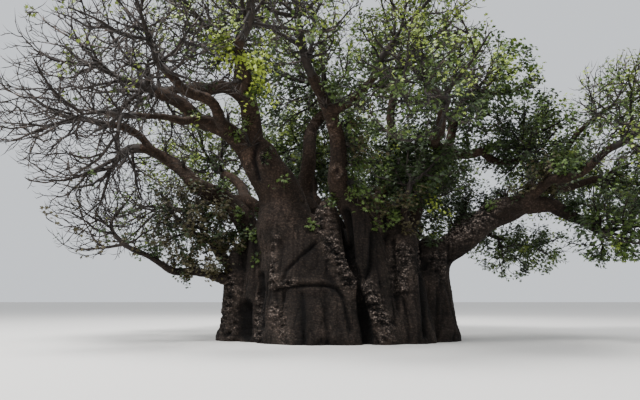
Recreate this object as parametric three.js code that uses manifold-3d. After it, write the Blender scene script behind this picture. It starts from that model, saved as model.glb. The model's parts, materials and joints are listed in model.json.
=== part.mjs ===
// An old baobab tree, at its real size, in millimetres, with +Z up.
// The trunk is a row of stems grown into one body. Tapering boughs leave it and each other, and every
// bough ends at a mass of twigs that fills its own part of the crown: nearly bare on the left, in fresh
// leaf on the right. The origin is the middle of the flat cut under the trunk, at ground level, and
// the photographed side faces -Y.
import * as THREE from "three";
import { mergeVertices } from "three/addons/utils/BufferGeometryUtils.js";
import Module from "manifold-3d";

const wasm = await Module();
wasm.setup();

// Driving dimensions.
const SEAT_GAP = 0.3; // between two pieces that touch
const TRUNK_HEIGHT = 4200; // where the grown-together stems part
const ROOT_FLARE = 0.24; // extra radius of a stem at the ground, as a share
const ROOT_FLARE_HEIGHT = 700;
const BELOW_GROUND = 500; // how far a stem is drawn below the cut before it is trimmed
const STEM_BEND = 0.35; // where a stem bends, as a share of the way down from its top
const STEM_ROUNDING = 0.3; // share of a stem's length over which its top rounds off
const STEM_TOP_LOSS = 0.9; // of the square of its radius, at the very top
const CUT_WIDTH = 14000; // of the block that trims the stems at ground level

const STEM_SIDES = 10;
const STEM_STEPS = 5;
const BOUGH_SIDES = 7;
const BOUGH_STEPS = 5;
const COLLAR = 0.3; // extra radius where a bough leaves its parent, as a share
const WANDER = 0.035; // how far a bough strays from its smooth curve, as a share of its length
const WANDER_TURNS = 1.5;
const WANDER_DRIFT = 1.3; // keeps the wander from lying in one plane
const HEADING_HOLD = 0.4; // how far a bough keeps to its heading at each end, as a share of its span
const TAPER_POWER = 1.2; // a bough thins a little faster near its root
const COLLAR_LENGTH = 1.5; // in radii of the bough's root

const STEM_TWIG_SIDES = 5; // of the stem of a mass
const TWIG_SIDES = 3;
const TWIG_STEPS = 2;
const TWIGS_IN_LEAF = 6; // in a mass that is all in leaf
const TWIGS_MORE_BARE = 2; // in a mass that is all bare
const TWIG_TRIES = 60;
const SHORTEST_TWIG = 500;
const STEM_ROOT = 0.96; // radius of a mass's stem against its bough's tip
const STEM_TIP = 0.5;
const STEM_LEAD = 0.45; // how far a stem keeps to its bough's heading, as a share of its span
const STEM_SHORTFALL = 0.12; // how far short of the middle of its space the stem ends, as a share
const TWIG_ROOT = 60; // the largest radius at a twig's root
const TWIG_ROOT_SHARE = 0.5; // of the radius of what it grows from, so that it stays inside it
const TWIG_TAPER = 0.6;
const TWIG_SAG = 0.14; // twigs hang a little and turn up at the tip, as a share of their length
const TWIG_LEAD = 0.12; // how far a twig first follows what carries it
const JOINT_SHARES = [0.3, 0.5, 0.7, 0.9]; // where a twig may carry others
const CLEAR_SHARES = [0.3, 0.5, 0.7, 0.85, 1]; // where a twig is tested
const TWIG_CLEARANCE = 90; // from a twig's middle to any limb that isn't its own
const OBSTACLE_STEPS = 24;
const TARGET_INNER = 0.9; // the share of its reach at which a mass's twigs end, at least
const TARGET_RANGE = 0.08;
const MASS_SEEDS = [0.31, 0.17]; // make the twigs of one mass unlike the next one's
const CELL_MARGIN = 0.1; // between neighbouring masses, as a share of a mass's reach
const PATH_WEIGHT = 0.3; // how much a twig prefers to join near the foot of its mass
const TURN_WEIGHT = 0.4; // how much a twig prefers to go on the way its carrier goes
const MASS_TOLERANCE = 4; // faces of a mass that depart less than this from flat are joined

const LEAF_LENGTH = 780; // each leaf stands for a spray
const LEAF_WIDTH = 0.46;
const LEAF_THICKNESS = 0.06;
const LEAF_SUNK = 0.22; // share of a leaf's length that lies in and behind its twig
const LEAF_FORWARD = 0.75; // how much a leaf follows its twig
const LEAF_LIFT = 0.5; // how much a leaf turns upwards, at most
const LEAF_LEAST_LIFT = 0.3; // as a share of that
const LEAF_LEAST_LENGTH = 0.85;
const LEAF_LENGTH_RANGE = 0.3;
const LEAF_CLEARANCE = 30;
const LEAF_PLACES = [
  [0.72, 1],
  [0.9, -1],
]; // share of the twig's length, and side
const BARE_SHARE = 0.4; // a mass with less of its twigs in leaf shows its bark's colour

const BARK = { color: 0x4b3c34, roughness: 0.92, metalness: 0 };
const TWIG_BARK = { color: 0x5a4a43, roughness: 0.9, metalness: 0 };
const LEAF_GREEN = { color: 0x5d7a2c, roughness: 0.7, metalness: 0 };

// The stems of the trunk: the middle of the foot and its radius, then the middle of the top and its radius.
const TRUNK_STEMS = [
  { foot: [-3600, 200], radius: 830, top: [-3700, 250, 3500], topRadius: 500 },
  { foot: [-2800, -500], radius: 640, top: [-2850, -50, 4300], topRadius: 520 },
  { foot: [-2060, -1250], radius: 720, top: [-1900, -850, 4500], topRadius: 620 },
  { foot: [-1000, -1500], radius: 1010, top: [-1350, -850, 4400], topRadius: 860 },
  { foot: [80, -1650], radius: 880, top: [-420, -1200, 5000], topRadius: 420 },
  { foot: [1420, -1500], radius: 800, top: [850, -1150, 4500], topRadius: 560 },
  { foot: [2450, -1100], radius: 840, top: [2150, -750, 4400], topRadius: 640 },
  { foot: [3480, -100], radius: 900, top: [3300, -50, 3600], topRadius: 700 },
  { foot: [3050, 1150], radius: 860, top: [2800, 950, 3900], topRadius: 620 },
  { foot: [1500, 1750], radius: 1000, top: [1080, 1300, 5100], topRadius: 720 },
  { foot: [-300, 1850], radius: 1050, top: [-200, 1500, 4800], topRadius: 760 },
  { foot: [-2200, 1350], radius: 980, top: [-2100, 1050, 4200], topRadius: 640 },
];
// The wood between the stems: a dome whose middle is at ground level.
const HEART_RADII = [3500, 1700, TRUNK_HEIGHT];
const HEART_SIDES = 14;
const HEART_STEPS = 8;

// Each bough leaves "from" at the share "at" of its length, or "root" inside the trunk. "leave" and
// "arrive" are its headings there and at its tip: degrees round from +X, and degrees above level.
// "radii" are at its root and tip. "mass" is the space of the twigs beyond the tip: its middle, its
// reach along X, Y and Z, and the share of its twigs that are in leaf.
const BOUGHS = [
  {
    name: "main_stem",
    root: [-1350, -600, 2400],
    leave: [180, 74],
    tip: [-2820, -900, 6590],
    arrive: [180, 64],
    radii: [1100, 620],
  },
  {
    name: "bough_left_upper",
    from: "main_stem",
    at: 0.9,
    leave: [182, 42],
    tip: [-6150, -2000, 8550],
    arrive: [188, 24],
    radii: [400, 190],
    mass: { at: [-8000, -2400, 9200], reach: [3300, 2600, 2400], leaf: 0.1 },
  },
  {
    name: "bough_crown_left",
    from: "main_stem",
    at: 0.94,
    leave: [195, 66],
    tip: [-3450, -1500, 10100],
    arrive: [130, 84],
    radii: [420, 200],
    mass: { at: [-4300, -1200, 11000], reach: [2900, 2500, 2200], leaf: 0.3 },
  },
  {
    name: "bough_left_level",
    from: "bough_crown_left",
    at: 0.6,
    leave: [172, 30],
    tip: [-6350, 500, 9500],
    arrive: [170, 2],
    radii: [230, 150],
    mass: { at: [-7900, 1800, 9600], reach: [3400, 2800, 2600], leaf: 0.1 },
  },
  {
    name: "bough_left_low",
    root: [-2850, 700, 2900],
    leave: [180, 66],
    tip: [-7400, 500, 7300],
    arrive: [180, 26],
    radii: [500, 190],
    mass: { at: [-9200, 1200, 6300], reach: [3000, 2800, 1900], leaf: 0.08 },
  },
  {
    name: "bough_left_far",
    from: "bough_left_low",
    at: 0.82,
    leave: [200, 34],
    tip: [-9000, -700, 8000],
    arrive: [182, 6],
    radii: [170, 110],
    mass: { at: [-10400, -900, 7800], reach: [2100, 2500, 2000], leaf: 0.06 },
  },
  {
    name: "bough_left_skirt",
    root: [-3600, 350, 2400],
    leave: [172, 40],
    tip: [-5700, 600, 4050],
    arrive: [176, 12],
    radii: [240, 130],
    mass: { at: [-5700, 900, 4600], reach: [2100, 2300, 1900], leaf: 0.75 },
  },
  {
    name: "bough_left_reach",
    root: [-3350, 50, 2150],
    leave: [188, 4],
    tip: [-7300, -1300, 3300],
    arrive: [184, 26],
    radii: [210, 100],
    mass: { at: [-8200, -1500, 4300], reach: [2000, 2200, 1500], leaf: 0.16 },
  },
  {
    name: "bough_left_front",
    from: "bough_left_upper",
    at: 0.34,
    leave: [246, 30],
    tip: [-5100, -5200, 8100],
    arrive: [236, 22],
    radii: [210, 130],
    mass: { at: [-5200, -6600, 8600], reach: [2500, 2400, 1900], leaf: 0.12 },
  },
  {
    name: "bough_left_front_low",
    from: "bough_left_upper",
    at: 0.5,
    leave: [225, 8],
    tip: [-6300, -3900, 7200],
    arrive: [208, 4],
    radii: [150, 100],
    mass: { at: [-7900, -5200, 6800], reach: [2400, 2400, 1900], leaf: 0.08 },
  },
  {
    name: "bough_left_back",
    root: [-2300, 1300, 3000],
    leave: [140, 62],
    tip: [-5000, 5000, 7200],
    arrive: [128, 24],
    radii: [380, 180],
    mass: { at: [-6000, 6000, 8200], reach: [3300, 3000, 3000], leaf: 0.3 },
  },
  {
    name: "bough_left_back_low",
    from: "bough_left_back",
    at: 0.52,
    leave: [178, 12],
    tip: [-7000, 4200, 5500],
    arrive: [176, 4],
    radii: [190, 110],
    mass: { at: [-8200, 4400, 5400], reach: [2800, 2500, 2100], leaf: 0.25 },
  },
  {
    name: "bough_top",
    root: [-100, 900, 3500],
    leave: [158, 52],
    tip: [-300, 1900, 9250],
    arrive: [10, 46],
    radii: [480, 190],
    mass: { at: [-1000, 2400, 10700], reach: [3300, 2700, 2500], leaf: 0.6 },
  },
  {
    name: "bough_centre",
    root: [950, -1200, 1700],
    leave: [200, 80],
    tip: [-900, -3000, 8700],
    arrive: [215, 62],
    radii: [620, 160],
    mass: { at: [-1400, -4500, 10500], reach: [2600, 2300, 2000], leaf: 0.45 },
  },
  {
    name: "bough_centre_right",
    from: "bough_centre",
    at: 0.84,
    leave: [-20, 34],
    tip: [1000, -3500, 8550],
    arrive: [-50, 48],
    radii: [170, 110],
    mass: { at: [2000, -4600, 10000], reach: [2300, 2300, 2000], leaf: 0.65 },
  },
  {
    name: "bough_upright",
    root: [1500, 700, 3300],
    leave: [30, 80],
    tip: [2250, 1100, 9700],
    arrive: [10, 84],
    radii: [320, 150],
    mass: { at: [2800, 1300, 10900], reach: [2800, 2700, 2300], leaf: 0.75 },
  },
  {
    name: "bough_right_upper",
    root: [2200, 200, 3200],
    leave: [-5, 72],
    tip: [4350, -100, 8300],
    arrive: [10, 74],
    radii: [340, 150],
    mass: { at: [5000, -300, 9200], reach: [2600, 2700, 2000], leaf: 0.9 },
  },
  {
    name: "bough_right_mid",
    from: "bough_right_upper",
    at: 0.74,
    leave: [12, 24],
    tip: [6900, 800, 6850],
    arrive: [8, 4],
    radii: [190, 120],
    mass: { at: [7600, 1000, 7900], reach: [2500, 2600, 1800], leaf: 0.9 },
  },
  {
    name: "bough_arch_rise",
    root: [2950, -100, 1900],
    leave: [-4, 50],
    tip: [6960, -600, 4990],
    arrive: [-4, 4],
    radii: [560, 330],
  },
  {
    name: "bough_arch_fall",
    from: "bough_arch_rise",
    at: 1,
    leave: [-6, -2],
    tip: [8950, -1250, 4050],
    arrive: [-24, -36],
    radii: [320, 140],
    mass: { at: [10000, -1900, 4000], reach: [2300, 2300, 1500], leaf: 0.75 },
  },
  {
    name: "bough_right_level",
    from: "bough_arch_rise",
    at: 0.56,
    leave: [10, 26],
    tip: [10000, 900, 6200],
    arrive: [8, 12],
    radii: [240, 130],
    mass: { at: [11500, 1100, 6000], reach: [2000, 2500, 1500], leaf: 0.65 },
  },
  {
    name: "bough_right_rise",
    from: "bough_right_level",
    at: 0.62,
    leave: [80, 66],
    tip: [9350, 100, 8100],
    arrive: [-14, 50],
    radii: [140, 90],
    mass: { at: [10600, -500, 8900], reach: [2400, 2400, 1600], leaf: 0.4 },
  },
  {
    name: "bough_right_front",
    from: "bough_arch_rise",
    at: 0.9,
    leave: [-36, 34],
    tip: [8300, -3900, 6200],
    arrive: [-66, 26],
    radii: [200, 120],
    mass: { at: [9700, -5000, 7100], reach: [2900, 2700, 2000], leaf: 0.6 },
  },
  {
    name: "bough_right_back",
    root: [2950, 950, 2700],
    leave: [40, 34],
    tip: [7700, 4200, 5900],
    arrive: [24, 24],
    radii: [380, 170],
    mass: { at: [10000, 4900, 6900], reach: [2600, 2600, 2100], leaf: 0.9 },
  },
  {
    name: "bough_right_back_low",
    from: "bough_right_back",
    at: 0.7,
    leave: [60, -6],
    tip: [7300, 5400, 4500],
    arrive: [20, -12],
    radii: [170, 110],
    mass: { at: [8700, 5800, 4000], reach: [2500, 2300, 1500], leaf: 0.95 },
  },
  {
    name: "bough_back_centre",
    root: [-350, 1700, 3300],
    leave: [112, 66],
    tip: [-1600, 5600, 7900],
    arrive: [108, 36],
    radii: [420, 190],
    mass: { at: [-900, 6300, 8100], reach: [3800, 3100, 3100], leaf: 0.8 },
  },
  {
    name: "bough_back_right",
    root: [1500, 1600, 3100],
    leave: [68, 58],
    tip: [3100, 4300, 6200],
    arrive: [64, 26],
    radii: [400, 190],
    mass: { at: [3600, 5500, 6600], reach: [3200, 2800, 3100], leaf: 0.95 },
  },
  {
    name: "bough_front",
    from: "bough_crown_left",
    at: 0.46,
    leave: [-78, 24],
    tip: [-2900, -5400, 8900],
    arrive: [-70, 18],
    radii: [230, 130],
    mass: { at: [-2000, -7900, 9700], reach: [2700, 2400, 2000], leaf: 0.35 },
  },
  {
    name: "bough_front_right",
    from: "bough_right_upper",
    at: 0.6,
    leave: [-84, 36],
    tip: [3100, -4200, 7300],
    arrive: [-86, 14],
    radii: [220, 130],
    mass: { at: [2000, -6200, 7600], reach: [2300, 2400, 1800], leaf: 0.65 },
  },
  {
    name: "bough_centre_low",
    root: [2250, -850, 3300],
    leave: [-60, 70],
    tip: [2350, -1600, 5150],
    arrive: [60, 66],
    radii: [190, 110],
    mass: { at: [3000, -600, 6400], reach: [2000, 2000, 1600], leaf: 1 },
  },
];

const UP = new THREE.Vector3(0, 0, 1);
const GOLDEN_ANGLE = Math.PI * (3 - Math.sqrt(5));
// Steps of a sequence that spreads points evenly through a volume.
const SPREAD = [0.8191725134, 0.6710436067, 0.5497004779];

const share = (value) => value - Math.floor(value);
const vector = (list) => new THREE.Vector3(...list);

function heading([roundDegrees, upDegrees]) {
  const round = THREE.MathUtils.degToRad(roundDegrees);
  const up = THREE.MathUtils.degToRad(upDegrees);
  return new THREE.Vector3(
    Math.cos(up) * Math.cos(round),
    Math.cos(up) * Math.sin(round),
    Math.sin(up),
  );
}

// A closed geometry as a solid that can be joined and cut.
function solidOf(geometry) {
  const bare = new THREE.BufferGeometry().setAttribute(
    "position",
    geometry.getAttribute("position"),
  );
  bare.setIndex(geometry.getIndex());
  const merged = mergeVertices(bare, 1e-3);
  return new wasm.Manifold(
    new wasm.Mesh({
      numProp: 3,
      vertProperties: merged.getAttribute("position").array,
      triVerts: new Uint32Array(merged.getIndex().array),
    }),
  );
}

// The largest piece of a solid, without loose scraps or sealed hollows.
function wholePiece(solid) {
  return solid.decompose().reduce((a, b) => (b.volume() > a.volume() ? b : a));
}

function geometryOf(solid) {
  const mesh = solid.getMesh();
  const geometry = new THREE.BufferGeometry();
  geometry.setAttribute("position", new THREE.BufferAttribute(mesh.vertProperties, 3));
  geometry.setIndex(new THREE.BufferAttribute(mesh.triVerts, 1));
  geometry.computeVertexNormals();
  return geometry;
}

// A cylinder bent along a curve, with a radius for each share of its length. It may end in a point,
// and "grow" makes it that much larger all round and at both ends.
function tapered(curve, radiusAt, { sides, steps, pointed = false, grow = 0 }) {
  const geometry = new THREE.CylinderGeometry(1, pointed ? 0 : 1, 1, sides, steps);
  const frames = curve.computeFrenetFrames(steps, false);
  const position = geometry.getAttribute("position");
  const point = new THREE.Vector3();
  for (let i = 0; i < position.count; i++) {
    const along = 0.5 - position.getY(i);
    const step = Math.round(along * steps);
    const ring = Math.hypot(position.getX(i), position.getZ(i));
    const spread = ring > 0 ? (radiusAt(along) + grow) / ring : 0;
    const overrun = step === 0 ? -grow : step === steps ? grow : 0;
    point
      .copy(curve.getPointAt(along))
      .addScaledVector(frames.tangents[step], overrun)
      .addScaledVector(frames.normals[step], position.getX(i) * spread)
      .addScaledVector(frames.binormals[step], position.getZ(i) * spread);
    position.setXYZ(i, point.x, point.y, point.z);
  }
  return solidOf(geometry);
}

// One stem of the trunk: it flares at the ground and rounds off at the top.
function trunkStem({ foot, radius, top, topRadius }, grow) {
  const low = new THREE.Vector3(foot[0], foot[1], -BELOW_GROUND);
  const curve = new THREE.CatmullRomCurve3([
    low,
    new THREE.Vector3(foot[0], foot[1], ROOT_FLARE_HEIGHT),
    vector(top).lerp(low, STEM_BEND),
    vector(top),
  ]);
  const radiusAt = (t) => {
    const height = Math.max(0, curve.getPointAt(t).z);
    const flare = 1 + ROOT_FLARE * Math.exp(-height / ROOT_FLARE_HEIGHT);
    const nearTop = Math.max(0, 1 - (1 - t) / STEM_ROUNDING);
    const rounding = Math.sqrt(1 - STEM_TOP_LOSS * nearTop ** 2);
    return THREE.MathUtils.lerp(radius, topRadius, t) * flare * rounding;
  };
  return tapered(curve, radiusAt, { sides: STEM_SIDES, steps: STEM_STEPS, grow });
}

function trunkSolid(grow) {
  const heart = new THREE.SphereGeometry(1, HEART_SIDES, HEART_STEPS);
  heart.rotateX(Math.PI / 2);
  heart.scale(...HEART_RADII.map((radius) => radius + grow));
  const cutDepth = TRUNK_HEIGHT + BELOW_GROUND;
  const belowGround = new THREE.BoxGeometry(CUT_WIDTH, CUT_WIDTH, cutDepth);
  belowGround.translate(0, 0, -cutDepth / 2);
  const grown = wasm.Manifold.union([
    solidOf(heart),
    ...TRUNK_STEMS.map((stem) => trunkStem(stem, grow)),
  ]);
  return wholePiece(grown.subtract(solidOf(belowGround)));
}

// The middle line of a bough: a smooth curve between its two headings, with a slow wander of its own.
class BoughLine extends THREE.Curve {
  constructor(bough, index, root) {
    super();
    const tip = vector(bough.tip);
    this.span = root.distanceTo(tip);
    this.index = index;
    const hold = HEADING_HOLD * this.span;
    this.smooth = new THREE.CubicBezierCurve3(
      root,
      root.clone().addScaledVector(heading(bough.leave), hold),
      tip.clone().addScaledVector(heading(bough.arrive), -hold),
      tip,
    );
  }

  getPoint(t, target = new THREE.Vector3()) {
    const turn = 2 * Math.PI * (WANDER_TURNS * t + SPREAD[1] * this.index);
    const stray = new THREE.Vector3(
      Math.cos(turn),
      Math.sin(WANDER_DRIFT * turn),
      Math.sin(turn),
    );
    const size = WANDER * this.span * Math.sin(Math.PI * t);
    return this.smooth.getPoint(t, target).addScaledVector(stray, size);
  }
}

function boughRadius({ radii, from, at }, length) {
  const collar = from && at === 1 ? 0 : COLLAR;
  return (t) =>
    THREE.MathUtils.lerp(radii[1], radii[0], (1 - t) ** TAPER_POWER) +
    collar * radii[0] * Math.exp((-t * length) / (COLLAR_LENGTH * radii[0]));
}

// Each bough is cut clear of the trunk and of the boughs before it.
function growBoughs(trunkCutter) {
  const limbs = [];
  BOUGHS.forEach((bough, index) => {
    const parent = limbs.find((limb) => limb.bough.name === bough.from);
    const root = parent ? parent.curve.getPointAt(bough.at) : vector(bough.root);
    const curve = new BoughLine(bough, index, root);
    const radiusAt = boughRadius(bough, curve.getLength());
    const size = { sides: BOUGH_SIDES, steps: BOUGH_STEPS };
    const cutters = [trunkCutter, ...limbs.map((limb) => limb.cutter)];
    const whole = tapered(curve, radiusAt, size);
    const solid = wholePiece(whole.subtract(wasm.Manifold.union(cutters)));
    const cutter = tapered(curve, radiusAt, { ...size, grow: SEAT_GAP });
    limbs.push({ bough, curve, radiusAt, solid, cutter });
  });
  return limbs;
}

// How far a point is from the middle of a mass's space, where 1 is on its edge.
function reachShare(mass, point) {
  return Math.hypot(
    (point.x - mass.at[0]) / mass.reach[0],
    (point.y - mass.at[1]) / mass.reach[1],
    (point.z - mass.at[2]) / mass.reach[2],
  );
}

function inOwnSpace(masses, own, point) {
  const mine = reachShare(own, point);
  return (
    mine <= 1 &&
    masses.every((other) => other === own || reachShare(other, point) > mine + CELL_MARGIN)
  );
}

// The k-th place that a mass's twigs grow towards: the first ones lie near the edge of its space.
function twigTarget(mass, index, k) {
  const height = 2 * share(k * SPREAD[0] + index * MASS_SEEDS[0]) - 1;
  const round = k * GOLDEN_ANGLE + index;
  const out = TARGET_INNER + TARGET_RANGE * share(k * SPREAD[2] + index * MASS_SEEDS[1]);
  const level = Math.sqrt(1 - height * height);
  return new THREE.Vector3(
    mass.at[0] + mass.reach[0] * out * level * Math.cos(round),
    mass.at[1] + mass.reach[1] * out * level * Math.sin(round),
    mass.at[2] + mass.reach[2] * out * height,
  );
}

// A curve made of straight lengths between its points.
class Polyline extends THREE.Curve {
  constructor(points) {
    super();
    this.points = points;
  }

  getPoint(t, target = new THREE.Vector3()) {
    const place = t * (this.points.length - 1);
    const i = Math.min(Math.floor(place), this.points.length - 2);
    return target.copy(this.points[i]).lerp(this.points[i + 1], place - i);
  }

  getPointAt(t, target) {
    return this.getPoint(t, target);
  }
}

// One twig or stem of a mass, with what it needs to be drawn and joined.
function twigAlong(curve, steps, radii, sides, path) {
  const line = new Polyline(curve.getSpacedPoints(steps));
  const radiusAt = (t) => THREE.MathUtils.lerp(radii[0], radii[1], t);
  return { curve, line, radiusAt, sides, steps, path, length: curve.getLength() };
}

// The stem of a mass runs from just clear of its bough's tip to near the middle of its space.
function massStem({ bough, curve }) {
  const lead = curve.getTangentAt(1);
  const start = curve.getPointAt(1).addScaledVector(lead, SEAT_GAP);
  const end = vector(bough.mass.at).lerp(start, STEM_SHORTFALL);
  const bend = start.clone().addScaledVector(lead, STEM_LEAD * start.distanceTo(end));
  const radii = [bough.radii[1] * STEM_ROOT, bough.radii[1] * STEM_TIP];
  const stem = new THREE.QuadraticBezierCurve3(start, bend, end);
  return twigAlong(stem, TWIG_STEPS, radii, STEM_TWIG_SIDES, 0);
}

// A twig leaves its joint along what carries it, sags, and turns up to its target.
function twigTo(target, joint) {
  const length = joint.point.distanceTo(target);
  const middle = joint.point
    .clone()
    .lerp(target, 0.5)
    .addScaledVector(UP, -TWIG_SAG * length)
    .addScaledVector(joint.lead, TWIG_LEAD * length);
  const curve = new THREE.QuadraticBezierCurve3(joint.point, middle, target);
  const root = Math.min(TWIG_ROOT, joint.radius * TWIG_ROOT_SHARE);
  return twigAlong(curve, TWIG_STEPS, [root, root * TWIG_TAPER], TWIG_SIDES, joint.path);
}

// Places on a twig where another may join it.
function jointsOn({ line, radiusAt, path, length }) {
  return JOINT_SHARES.map((t) => ({
    point: line.getPoint(t),
    lead: line.getTangent(t),
    path: path + t * length,
    radius: radiusAt(t),
  }));
}

// A target is dear to reach from a joint that is far off, that points another way, or that is
// already a long way from the bough.
function joinCost({ point, lead, path }, target) {
  const way = target.clone().sub(point);
  const distance = way.length();
  const turn = 1 - way.dot(lead) / distance;
  return distance * (1 + TURN_WEIGHT * turn) + PATH_WEIGHT * path;
}

// The stem and twigs of a mass: each target in turn is reached from the joint that costs least.
function growTwigs(stem, mass, index, clear) {
  const twigs = [stem];
  const joints = jointsOn(stem);
  const wanted = TWIGS_IN_LEAF + Math.round(TWIGS_MORE_BARE * (1 - mass.leaf));
  for (let k = 0; k < TWIG_TRIES && twigs.length <= wanted; k++) {
    const target = twigTarget(mass, index, k);
    const joint = joints.reduce((a, b) => (joinCost(b, target) < joinCost(a, target) ? b : a));
    const twig = twigTo(target, joint);
    const samples = CLEAR_SHARES.map((t) => twig.line.getPoint(t));
    const isClear = samples.every((point) => clear(point, TWIG_CLEARANCE));
    if (!isClear || twig.length < SHORTEST_TWIG) continue;
    twigs.push(twig);
    joints.push(...jointsOn(twig));
  }
  return twigs;
}

// A leaf is a flat eight-sided lozenge. It points out and up from one side of its twig.
function leafOn(twig, t, side, seed) {
  const along = twig.line.getTangent(t);
  const across = new THREE.Vector3().crossVectors(along, UP).normalize();
  const lift = LEAF_LIFT * THREE.MathUtils.lerp(LEAF_LEAST_LIFT, 1, share(seed * SPREAD[1] + t));
  const direction = along
    .multiplyScalar(LEAF_FORWARD)
    .addScaledVector(across, side)
    .addScaledVector(UP, lift)
    .normalize();
  const width = new THREE.Vector3().crossVectors(UP, direction).normalize();
  const face = new THREE.Vector3().crossVectors(direction, width);
  const growth = LEAF_LEAST_LENGTH + LEAF_LENGTH_RANGE * share(seed * SPREAD[2] + t);
  const length = LEAF_LENGTH * growth;
  const leaf = new THREE.OctahedronGeometry(0.5);
  leaf.scale(length, length * LEAF_WIDTH, length * LEAF_THICKNESS);
  leaf.translate(length * (0.5 - LEAF_SUNK), 0, 0);
  const place = twig.line.getPoint(t);
  leaf.applyMatrix4(new THREE.Matrix4().makeBasis(direction, width, face).setPosition(place));
  return leaf;
}

function leafIsClear(leaf, clear) {
  const corners = leaf.getAttribute("position");
  const corner = new THREE.Vector3();
  for (let i = 0; i < corners.count; i++) {
    if (!clear(corner.fromBufferAttribute(corners, i), LEAF_CLEARANCE)) return false;
  }
  return true;
}

// The twigs of one mass and their leaves, joined into one body.
function massSolid(limb, index, masses, obstacles) {
  const { mass } = limb.bough;
  const clear = (point, pad) =>
    inOwnSpace(masses, mass, point) &&
    obstacles.every((o) => o.mass === mass || o.point.distanceTo(point) > o.radius + pad);
  const twigs = growTwigs(massStem(limb), mass, index, clear);
  const pieces = twigs.map((twig) =>
    tapered(twig.curve, twig.radiusAt, { ...twig, pointed: true }),
  );
  twigs.slice(1).forEach((twig, i) => {
    const seed = i + index;
    if (share(seed * SPREAD[0]) >= mass.leaf) return;
    for (const [t, side] of LEAF_PLACES) {
      const leaf = leafOn(twig, t, side, seed);
      if (leafIsClear(leaf, clear)) pieces.push(solidOf(leaf));
    }
  });
  return wholePiece(wasm.Manifold.union(pieces).simplify(MASS_TOLERANCE));
}

// Points along every bough and every mass's stem, for the twigs of other masses to keep clear of.
function obstaclesOf(limbs) {
  const obstacles = [];
  for (const limb of limbs) {
    const { mass } = limb.bough;
    const stem = mass && massStem(limb);
    for (let i = 0; i <= OBSTACLE_STEPS; i++) {
      const t = i / OBSTACLE_STEPS;
      obstacles.push({ point: limb.curve.getPointAt(t), radius: limb.radiusAt(t) });
      if (mass) obstacles.push({ point: stem.line.getPoint(t), radius: stem.radiusAt(t), mass });
    }
  }
  return obstacles;
}

const tree = new THREE.Group();

function add(name, solid, look) {
  const mesh = new THREE.Mesh(geometryOf(solid), new THREE.MeshStandardMaterial(look));
  mesh.name = name;
  tree.add(mesh);
}

const limbs = growBoughs(trunkSolid(SEAT_GAP));
const leafyLimbs = limbs.filter((limb) => limb.bough.mass);
const masses = leafyLimbs.map((limb) => limb.bough.mass);
const obstacles = obstaclesOf(limbs);

add("trunk", trunkSolid(0), BARK);
for (const limb of limbs) add(limb.bough.name, limb.solid, BARK);
leafyLimbs.forEach((limb, index) => {
  const name = limb.bough.name.replace("bough", "mass");
  const look = limb.bough.mass.leaf > BARE_SHARE ? LEAF_GREEN : TWIG_BARK;
  add(name, massSolid(limb, index, masses, obstacles), look);
});

export default tree;
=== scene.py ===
"""An old baobab: a broad trunk of stems grown into one, tapering boughs, and a wide low crown whose left
side is nearly bare and whose right side is in fresh leaf. Metres, +Z up, the seen side faces -Y."""

import json
import math
from collections import namedtuple

import bmesh
import bpy
import numpy as np
import openvdb
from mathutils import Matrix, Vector, noise

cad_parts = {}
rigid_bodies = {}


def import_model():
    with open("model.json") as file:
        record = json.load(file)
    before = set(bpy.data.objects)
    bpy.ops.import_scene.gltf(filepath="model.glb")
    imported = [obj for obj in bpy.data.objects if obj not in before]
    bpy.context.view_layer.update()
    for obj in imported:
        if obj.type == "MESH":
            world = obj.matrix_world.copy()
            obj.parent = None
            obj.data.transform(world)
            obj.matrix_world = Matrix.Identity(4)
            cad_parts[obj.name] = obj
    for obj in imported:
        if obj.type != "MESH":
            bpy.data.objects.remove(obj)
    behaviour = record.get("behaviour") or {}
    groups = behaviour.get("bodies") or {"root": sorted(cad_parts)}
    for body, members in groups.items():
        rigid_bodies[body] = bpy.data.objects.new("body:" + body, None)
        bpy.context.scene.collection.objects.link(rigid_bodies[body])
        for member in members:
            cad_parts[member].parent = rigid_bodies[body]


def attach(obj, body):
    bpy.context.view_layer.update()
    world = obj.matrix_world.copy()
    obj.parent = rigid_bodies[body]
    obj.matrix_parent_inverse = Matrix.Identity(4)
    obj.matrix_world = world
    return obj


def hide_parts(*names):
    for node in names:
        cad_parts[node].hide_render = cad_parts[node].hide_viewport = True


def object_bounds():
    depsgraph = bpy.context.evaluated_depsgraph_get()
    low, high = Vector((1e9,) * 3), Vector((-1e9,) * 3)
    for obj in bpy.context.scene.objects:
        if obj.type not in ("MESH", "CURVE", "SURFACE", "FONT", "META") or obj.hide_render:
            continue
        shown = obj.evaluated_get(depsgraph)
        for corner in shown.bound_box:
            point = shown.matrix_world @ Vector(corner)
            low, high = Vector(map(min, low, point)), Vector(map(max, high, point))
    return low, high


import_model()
cad_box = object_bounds()

# The camera: level, at eye height, with the horizon below the middle of the frame.
FRAME_WIDTH_PX = 640
HORIZON_DROP_PX = 100
CAMERA_PLACE = (-0.67, -22.4, 1.5)
CAMERA_SIGHT = 1500
LENS_MM = 33.75
SENSOR_MM = 36

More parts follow.
